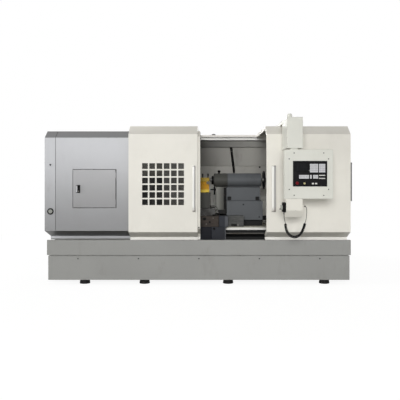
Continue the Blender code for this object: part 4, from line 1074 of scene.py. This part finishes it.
dress("tailstock_handwheel", wheel_metal, 0.001)
dress("tailstock_body", tail_enamel, 0.008, 3)
dress_all(["chuck", "quill", "live_centre"], turned_steel, 0.002)
dress("boring_bar", bar_steel_painted_light, 0.002)
dress("bed", bed_finish, 0.003)
dress("feed_screw", screw_steel, 0.001)
dress("saddle", saddle_finish, 0.003)
dress("cross_slide", slide_steel, 0.003)
dress("apron", apron_enamel, 0.004)
dress("tool_post_base", post_base_enamel, 0.004)
dress("tool_post", gold_plate, 0.0025)

# %% [markdown]
# The small things come last. Each is modelled from a block or a drum whose faces are inset and pushed,
# set on the face that carries it, and given the body that it rides on, so that the screws of a sliding
# guard slide with the guard. Helpers set out fasteners, rounded slabs and turned parts in the machine's
# own measures: across, behind the guards' front, and up.

# %% Small helpers
PLUG_RISE = 0.004


def fitted(name, x, back, z):
    """A block between two ranges each of x, distance behind the front, and height."""
    return block(name, at(x[0], back[0], z[0]), at(x[1], back[1], z[1]))


def slab(name, x, back, z, width, segments=2):
    """A fitted block with rounded edges."""
    return round_off(fitted(name, x, back, z), width, segments)


def turned(name, radius, foot, first, steps, width, sides=24, end_radius=None):
    """A turned part: a drum on its foot, whose top is stepped by insets and rises, with rounded edges."""
    part = drum(name, radius, foot, foot + first, sides, end_radius)
    for inset, rise in steps:
        step(part, first, inset, rise)
    return round_off(part, width)


def plug(name, radius, centre):
    """A flat plug with a turned rim and a shallow dish, looking out."""
    dish = [(radius * 0.28, PLUG_RISE * -0.4)]
    return turned(name, radius, centre, OUT * PLUG_RISE, dish, PLUG_RISE * 0.2, 28)


def fasten(name, model, places, body, look=dark_screw):
    """Copies a fastener to its places on one body."""
    complete(repeat(name, model, places), body, look)


# %% [markdown]
# Pan-head screws hold the sheet metal: five along the base, more round the end cap, the wall at the tail
# end, its vent cover and the rear wall. Each head looks away from the sheet that it holds. A socket-head
# bolt sits in the end cap, and hexagon bolts hold the arm on the rear beam.

# %% Screws of the base, housing, ends and back
end_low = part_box("housing_end_cap")[0]
tail_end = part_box("tail_guard")[1].x
vent_low, vent_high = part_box("end_vent_cover")
wall_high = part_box("rear_wall")[1]
arm_low, arm_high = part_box("panel_arm")

END_SCREW_BACKS = (0.34, 0.90, 1.46)
VENT_MARGIN = 0.014
ARM_MARGIN = 0.04

base_places = [at(x, 0.0, 0.332) for x in (-1.548, -0.774, 0.0, 0.774, 1.548)]
fasten("base_screws", pan_screw(0.008, OUT), base_places, "frame")
cap_places = [at(end_low.x, back, z) for back in END_SCREW_BACKS for z in (0.72, 1.86)]
fasten("cap_screws", pan_screw(0.009, LEFT), cap_places, "frame", bright_screw)
end_places = [at(tail_end, back, z) for back in END_SCREW_BACKS for z in (0.66, 1.86)]
fasten("tail_end_screws", pan_screw(0.009, RIGHT), end_places, home["tail_guard"], bright_screw)
vent_y = (vent_low.y + VENT_MARGIN, vent_high.y - VENT_MARGIN)
vent_z = (vent_low.z + VENT_MARGIN, vent_high.z - VENT_MARGIN)
vent_places = [(vent_high.x, y, z) for y in vent_y for z in vent_z]
fasten("vent_screws", pan_screw(0.006, RIGHT), vent_places, home["end_vent_cover"])
wall_places = [(x, wall_high.y, z) for x in (-0.40, 0.17, 0.74, 1.31, 1.88) for z in (0.62, 1.20, 1.80)]
fasten("rear_wall_screws", pan_screw(0.008, BACK), wall_places, "frame", bright_screw)
fasten("end_cap_bolt", socket_screw(0.010, OUT), [at(-1.922, 0.080, 1.5355)], "frame")
fasten("rear_wall_bolt", hex_bolt(0.011, OUT), [at(0.923, 1.580, 1.545)], "frame")
arm_x = (arm_low.x + ARM_MARGIN, arm_high.x - ARM_MARGIN)
arm_places = [(x, arm_high.y - inset, arm_high.z) for x in arm_x for inset in (0.03, 0.10)]
fasten("arm_bolts", hex_bolt(0.010, UP), arm_places, home["panel_arm"], bright_screw)
fasten("guard_lip_bolt", hex_bolt(0.0075, OUT), [at(-0.002, 0.060, 0.726)], home["left_door"])

beam_place = at(0.2085, 1.545, 2.036)
beam_plug = turned("beam_plug", 0.032, beam_place, UP * 0.017, [(0.008, 0.003)], 0.003, 32, 0.026)
complete(beam_plug, "frame", grey_plastic)

# %% [markdown]
# The housing and its end cap stand 15 mm above the deck, and a strip of rubber closes the slot, so that
# coolant stays in. It runs under the front sheet from end to end, and round the end cap. A curve could
# follow the slot, but its corners are square, and three slabs that meet end to end keep them so.

# %% Seal under the housing
SEAL_Z = (0.5404, 0.5547)
seal = join("housing_seal", [
    slab("seal_front", (-1.9965, -0.470), (0.384, 0.398), SEAL_Z, 0.002),
    slab("seal_left", (-1.9965, -1.9825), (0.3985, 1.6195), SEAL_Z, 0.002),
    slab("seal_rear", (-1.982, -1.870), (1.6055, 1.6195), SEAL_Z, 0.002),
])
complete(seal, "frame", seal_rubber)

# %% [markdown]
# The little door of the housing has a paddle latch with a lock cylinder, and the end cap has a sight
# glass for the oil. The paddle is a block whose face is raised by an inset, and the keyway is cut into
# the lock, because a line of dark paint would look flat from the side. Both ride on the leaf, and swing
# with it.

# %% Latch and sight glass
leaf = home["service_latch"]
latch_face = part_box("service_latch")[0].y - FRONT_Y
paddle = fitted("latch_paddle", (-1.583, -1.570), (latch_face - 0.003, latch_face), (1.180, 1.267))
step(paddle, OUT, 0.002, 0.0015)
complete(round_off(paddle, 0.0008), leaf, key_silver)
lock = drum("latch_lock", 0.007, at(-1.553, latch_face, 1.195), at(-1.553, latch_face - 0.003, 1.195), 24)
cut(lock, fitted("keyway", (-1.5542, -1.5518), (latch_face - 0.004, latch_face - 0.0015), (1.1905, 1.1995)))
complete(lock, leaf, bright_screw)
sight_place = at(-1.921, 0.0735, 0.933)
sight_lens = turned("sight_lens", 0.0290, sight_place, OUT * 0.0023, [(0.009, 0.0008)], 0.0006, 32, 0.0265)
complete(sight_lens, "frame", lens_plastic, 40)

# %% [markdown]
# The control face is a dark plate with a small screen, blocks of pale keys, two larger keys, a cream
# knob and the red stop button. Every block of keys is one key, modelled once, with a dished top,
# copied along its rows and columns. A flat picture of the keys would be quicker, but separate keys
# catch the light one by one. No sign is drawn on any of them.

# %% Keys, screen and knob of the control face
FACE_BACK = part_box("control_face")[0].y - FRONT_Y
KEY_RISE = 0.0028
KEY_GAP = 0.0018
PANEL_MIDDLE = (1.326, 1.406)


def key(name, width, height):
    """One key at the origin, looking out, with a slightly dished top."""
    cap = block(name, (-width / 2, -KEY_RISE, -height / 2), (width / 2, 0.0, height / 2))
    step(cap, OUT, min(width, height) * 0.16, -KEY_RISE * 0.12)
    return round_off(cap, min(width, height) * 0.06)


def key_grid(name, x, z, columns, rows, look=key_silver, gap=KEY_GAP):
    """Keys in columns and rows between two corners of the control face."""
    width = (x[1] - x[0] - gap * (columns - 1)) / columns
    height = (z[1] - z[0] - gap * (rows - 1)) / rows
    places = [
        at(x[0] + width / 2 + (width + gap) * column, FACE_BACK, z[0] + height / 2 + (height + gap) * row)
        for column in range(columns) for row in range(rows)
    ]
    complete(repeat(name, key(name, width, height), places), "frame", look)
    print(name, columns, "by", rows, "keys of", round(width * 1000, 1), "by", round(height * 1000, 1), "mm")


key_grid("letter_keys", (1.338, 1.435), (1.427, 1.529), 6, 4)
key_grid("number_keys", (1.447, 1.521), (1.427, 1.529), 4, 4)
key_grid("soft_keys", (1.208, 1.325), (1.352, 1.396), 7, 2)
key_grid("page_keys", (1.338, 1.359), (1.352, 1.396), 1, 2)
key_grid("mode_keys", (1.375, 1.435), (1.352, 1.396), 4, 2)
key_grid("feed_keys", (1.447, 1.519), (1.386, 1.397), 5, 1, key_white)
key_grid("spindle_keys", (1.447, 1.519), (1.350, 1.361), 5, 1, key_white)
key_grid("cycle_keys", (1.361, 1.424), (1.2845, 1.3015), 2, 1, key_white, 0.015)

bezel = fitted("display_bezel", (1.155, 1.325), (FACE_BACK - 0.004, FACE_BACK), (1.432, 1.547))
step(bezel, OUT, 0.007, -0.0022)
complete(round_off(bezel, 0.0008), "frame", black_plastic)
screen_back = (FACE_BACK - 0.0026, FACE_BACK - 0.0015)
screen = slab("display_screen", (1.1625, 1.3175), screen_back, (1.4395, 1.5395), 0.0003, 1)
complete(screen, "frame", screen_glass)
face_lamp = turned("face_lamp", 0.0042, at(1.331, FACE_BACK, 1.451), OUT * 0.004, [], 0.0008, 20, 0.0032)
complete(face_lamp, "frame", key_white)
knob_steps = [(0.003, 0.012), (0.003, -0.0015)]
knob_place = at(1.273, FACE_BACK, 1.295)
feed_knob = turned("feed_knob", 0.0130, knob_place, OUT * 0.004, knob_steps, 0.0008, 32, 0.0122)
complete(feed_knob, "frame", cream_plastic)

panel_places = [
    at(PANEL_MIDDLE[0] + across * side, -0.469, PANEL_MIDDLE[1] + rise * way)
    for across, rise in ((0.1775, 0.2545), (0.2365, 0.183)) for side in (-1, 1) for way in (-1, 1)
]
fasten("panel_screws", pan_screw(0.0070, OUT), panel_places, "frame")

# %% [markdown]
# A cord is never clamped where it leaves a housing: a tapered sleeve lets it bend by degrees. One sleeve
# sits on the gland of the lower box and one on the pendant's foot. The pendant's dial gets the marks of
# its hundred steps, thinned out to forty so that each still shows, and a small crank. All but the marks
# are drums whose top is stepped, narrower or wider each time, as such turned and moulded parts are.

# %% Sleeves, dial marks and crank of the pendant
gland_place = at(1.2753, CORD_BACK, 1.018)
gland_steps = [(0.0012, 0.010), (0.0012, 0.004)]
gland_sleeve = turned("gland_sleeve", 0.0080, gland_place, RIGHT * 0.0047, gland_steps, 0.0006)
complete(gland_sleeve, "frame", rubber)
foot_place = at(1.032, CORD_BACK, 0.9497)
foot_steps = [(0.0010, 0.012), (0.0014, 0.010)]
foot_sleeve = turned("pendant_sleeve", 0.0085, foot_place, UP * -0.0057, foot_steps, 0.0006, 24, 0.0078)
complete(foot_sleeve, "frame", rubber)

dial_low, dial_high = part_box("pendant_dial")
dial_centre = (dial_low + dial_high) / 2
DIAL_REACH = (dial_high.z - dial_low.z) / 2
DIAL_MARKS = 40
MARK_HALF = 0.0003


def dial_mark(number):
    """One dark mark near the dial's rim, longer at every fifth."""
    length = 0.006 if number % 5 == 0 else 0.0035
    rim = DIAL_REACH - 0.0025
    mark = block("dial_mark", (-MARK_HALF, -MARK_HALF, rim - length), (MARK_HALF, MARK_HALF, rim))
    mark.rotation_euler = (2 * math.pi * number / DIAL_MARKS, 0.0, 0.0)
    mark.location = (dial_low.x, dial_centre.y, dial_centre.z)
    return settle(mark)


marks = join("dial_marks", [dial_mark(number) for number in range(DIAL_MARKS)])
complete(marks, home["pendant_dial"], black_plastic)
crank_foot = Vector((dial_low.x, dial_centre.y, dial_centre.z - DIAL_REACH * 0.58))
crank = turned("dial_crank", 0.0050, crank_foot, LEFT * 0.004, [(-0.0010, 0.009), (0.0015, 0.002)], 0.0006)
complete(crank, home["pendant_dial"], black_plastic)

# %% [markdown]
# Round the tailstock hang the parts that a turner's hands know: the black ring that seals the quill, a
# T-shaped clamp lever beside the column, an oil plug in the front, and the black housing of a limit
# switch at its right foot. A black rubber strip is set in the slot between column and tailstock, to
# stand for the shade in it. All of them ride on the tailstock, but the ring comes out with the quill.
# The ring is a drum with a bore cut through it, which gives it a true inner wall, and the lever is
# three drums joined.

# %% Parts of the tailstock
tail = home["tailstock_body"]
quill_low, quill_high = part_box("quill")
QUILL_REACH = (quill_high.z - quill_low.z) / 2
LEVER_BACK = 0.76
LEVER_Z = 1.208
TAIL_BACK = 0.540
axis = Vector((0.0, AXIS_Y, AXIS_Z))
nose_ring = drum("quill_nose_ring", 0.058, axis + RIGHT * 0.1700, axis + RIGHT * 0.1980, 48)
step(nose_ring, LEFT, 0.004, -0.002)
cut(nose_ring, drum("bore", QUILL_REACH + 0.0003, axis + RIGHT * 0.15, axis + RIGHT * 0.25, 48))
complete(round_off(nose_ring, 0.0008), home["quill"], black_plastic)

# a black strip that stands for the shade in the slot
strip = slab("column_shade_strip", (0.3403, 0.3747), (0.690, 0.702), (0.9275, 1.2425), 0.001)
complete(strip, tail, rubber)

boss_place = at(0.2297, LEVER_BACK, LEVER_Z)
lever_boss = turned("lever_boss", 0.013, boss_place, LEFT * 0.0177, [(0.004, 0.004)], 0.001, 28)
lever_bar = drum("lever_bar", 0.010, at(0.2095, LEVER_BACK, 1.132), at(0.2095, LEVER_BACK, 1.246), 24)
grip_steps = [(-0.0025, 0.014), (0.003, 0.002)]
lever_grip = turned("lever_grip", 0.0075, at(0.206, LEVER_BACK, LEVER_Z), LEFT * 0.038, grip_steps, 0.001)
lever = join("clamp_lever", [lever_boss, round_off(lever_bar, 0.003, 3), lever_grip])
complete(lever, tail, black_plastic)

complete(plug("oil_plug", 0.012, at(0.604, TAIL_BACK, 1.005)), tail, dark_screw)
switch_box = slab("limit_switch", (0.8703, 0.930), (0.560, 0.640), (0.794, 0.846), 0.004, 3)
step(switch_box, RIGHT, 0.010, 0.004)
complete(switch_box, tail, black_plastic)
fasten("tail_bolts", socket_screw(0.011, OUT), [at(x, TAIL_BACK, 0.835) for x in (0.42, 0.82)], tail)

# %% [markdown]
# The carriage's front shows round plugs over the ends of its oil ways, bright screws, and a rubber wiper
# that keeps chips off the front way. A thin hose brings coolant from the tool post's base to the slide.
# It is a curve through eight points, turned into a mesh, because its bend leaves one plane, which is
# hard to spin or extrude.

# %% Plugs, wiper and hose of the carriage
carriage = home["saddle"]
SHELF_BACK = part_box("saddle")[0].y - FRONT_Y
APRON_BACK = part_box("apron")[0].y - FRONT_Y
WING_BACK = 0.385
plugs = [
    ("saddle_plug_large", 0.021, at(0.072, SHELF_BACK, 0.823)),
    ("saddle_plug_small", 0.013, at(0.143, SHELF_BACK, 0.7795)),
    ("apron_plug", 0.016, at(0.200, APRON_BACK, 0.692)),
]
for name, radius, place in plugs:
    complete(plug(name, radius, place), carriage, black_plastic)
shelf_places = [at(0.187, SHELF_BACK, 0.834), at(0.094, SHELF_BACK, 0.753)]
fasten("saddle_screws", socket_screw(0.006, OUT), shelf_places, carriage, bright_screw)
apron_places = [at(x, APRON_BACK, z) for x in (0.205, 0.325) for z in (0.565, 0.640)]
fasten("apron_screws", socket_screw(0.007, OUT), apron_places, carriage)
fasten("wing_screw", socket_screw(0.008, OUT), [at(0.523, WING_BACK, 0.736)], carriage, bright_screw)
wiper = slab("way_wiper", (0.430, 0.505), (0.3795, 0.3848), (0.7165, 0.752), 0.0015)
step(wiper, OUT, 0.005, 0.0015)
complete(wiper, carriage, rubber)

HOSE_RADIUS = 0.0042
hose_points = [
    at(0.1525, 0.470, 0.985), at(0.170, 0.470, 0.987), at(0.196, 0.468, 0.992), at(0.222, 0.464, 0.985),
    at(0.240, 0.458, 0.966), at(0.243, 0.452, 0.944), at(0.232, 0.448, 0.928), at(0.2155, 0.446, 0.924),
]
hose = tube("coolant_hose", hose_points, HOSE_RADIUS)
nut_up = drum("hose_nut", 0.0075, at(0.1523, 0.470, 0.985), at(0.162, 0.470, 0.985), 6)
nut_down = drum("hose_nut", 0.0075, at(0.2153, 0.446, 0.924), at(0.225, 0.446, 0.9245), 6)
hose = join("coolant_hose", [hose, step(nut_up, RIGHT, 0.001, 0.002), step(nut_down, RIGHT, 0.001, 0.002)])
complete(hose, home["cross_slide"], rubber)

# %% [markdown]
# In the dark behind the window the chuck carries the socket screws that hold its body together, and a
# bright band clamps the coolant pipe on the rear wall. The screws stand on a circle round the spindle's
# axis, so their places come from one radius and three angles.

# %% Screws of the chuck and clamp of the pipe
CHUCK_FACE_X = -0.640
CHUCK_SCREW_CIRCLE = 0.168
PIPE_RADIUS = 0.018
CLAMP_SHARE = 0.16
chuck_places = []
for number in range(3):
    angle = math.radians(30 + 120 * number)
    across, upward = CHUCK_SCREW_CIRCLE * math.cos(angle), CHUCK_SCREW_CIRCLE * math.sin(angle)
    chuck_places.append((CHUCK_FACE_X, AXIS_Y + across, AXIS_Z + upward))
fasten("chuck_screws", socket_screw(0.012, RIGHT), chuck_places, home["chuck"])
pipe_low, pipe_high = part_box("coolant_pipe")
pipe_way = Vector((pipe_high.x - pipe_low.x - 2 * PIPE_RADIUS, 0.0, pipe_low.z - pipe_high.z + 0.01))
pipe_top = Vector((pipe_low.x + PIPE_RADIUS, (pipe_low.y + pipe_high.y) / 2, pipe_high.z - 0.002))
clamp = ring("pipe_clamp", PIPE_RADIUS + 0.0006, 0.004, pipe_top + pipe_way * CLAMP_SHARE, pipe_way)
complete(clamp, "frame", bright_screw)

# %% [markdown]
# The floor is plain and pale and carries the machine's shadow. Camera, mirror and glass rays see it and
# the world as nearly white, while the light that they really give stays low, so that the background can
# be white without washing out the paint.

# %% Floor and world
FLOOR_HALF = 60.0
NEAR_SHARE = 0.74
NEAR_GLOW = 1.22
WORLD_LIGHT = 0.30
MIRRORED = 0.6
WHITE = (1.0, 1.0, 1.0, 1.0)

bpy.ops.object.select_all(action="DESELECT")
bpy.ops.mesh.primitive_plane_add(size=2 * FLOOR_HALF, location=(0.0, 0.0, 0.0))
floor = bpy.context.object
floor.name = "studio_floor"


def seen_share(look, mirrored):
    """1 for rays from the camera and through glass, and the given share for rays in a mirror."""
    rays = look.node("LightPath").outputs
    seen = Number(look, rays["Is Camera Ray"]) + Number(look, rays["Is Transmission Ray"])
    return (seen + Number(look, rays["Is Glossy Ray"]) * mirrored).smaller(1.0)


def floor_finish():
    """A matt floor that keeps the shadow near the machine and fades into the white world further off."""
    look = Finish("studio_floor")
    shade = look.blend(look.noise(0.8, 2) * 0.1, tint(205, 205, 203), tint(200, 200, 200))
    look.set(Base_Color=shade, Roughness=0.9, Specular_IOR_Level=0.0)
    far = ((look.x * look.x + look.y * look.y) ** 0.5).between(3.0, 7.5)
    glow_colour = look.blend(far, (NEAR_GLOW, NEAR_GLOW, NEAR_GLOW, 1.0), WHITE)
    glow = look.node("Emission", {}, {"Color": glow_colour})
    share = seen_share(look, 1.0) * (far * (1 - NEAR_SHARE) + NEAR_SHARE)
    both = look.node("MixShader", {}, {0: share, 1: look.shader.outputs[0], 2: glow.outputs[0]})
    look.put(look.tree.nodes["Material Output"].inputs["Surface"], both.outputs[0])
    return look.material


floor.data.materials.append(floor_finish())


class Sky(Finish):
    """The world under construction: the same nodes, but with no surface and no place."""

    def __init__(self, name):
        self.world = bpy.data.worlds.new(name)
        self.world.use_nodes = True
        self.tree = self.world.node_tree


sky = Sky("studio")
background = sky.tree.nodes["Background"]
sky.put(background.inputs["Strength"], seen_share(sky, MIRRORED) * (1 - WORLD_LIGHT) + WORLD_LIGHT)
sky.put(background.inputs["Color"], WHITE)
bpy.context.scene.world = sky.world
print("floor", 2 * FLOOR_HALF, "m wide, world light", WORLD_LIGHT)

# %% [markdown]
# The lamps are one broad soft box in front, high and a little to the left, one at each end, of which the
# left is the stronger, and one behind. They stand far off, so that the light falls evenly on four metres
# of machine, and together they keep each colour about as it is written.

# %% Lamps
AIM = Vector((0.0, 0.0, 1.1))


def soft_box(name, place, width, height, watts):
    """A rectangular lamp that faces the machine."""
    lamp = bpy.data.lights.new(name, "AREA")
    lamp.shape = "RECTANGLE"
    lamp.size = width
    lamp.size_y = height
    lamp.energy = watts
    obj = bpy.data.objects.new(name, lamp)
    obj.location = place
    obj.rotation_euler = (AIM - Vector(place)).to_track_quat("-Z", "Y").to_euler()
    bpy.context.scene.collection.objects.link(obj)
    print("lamp", name, watts, "W")


soft_box("key_lamp", (-1.2, -18.5, 4.6), 6.0, 4.0, 1750)
soft_box("left_lamp", (-22.0, -3.6, 4.6), 7.0, 4.0, 2500)
soft_box("right_lamp", (12.0, -3.0, 3.2), 5.0, 3.0, 170)
soft_box("rear_lamp", (1.0, 13.0, 4.2), 6.0, 3.0, 420)
bpy.context.scene.view_settings.view_transform = "Standard"
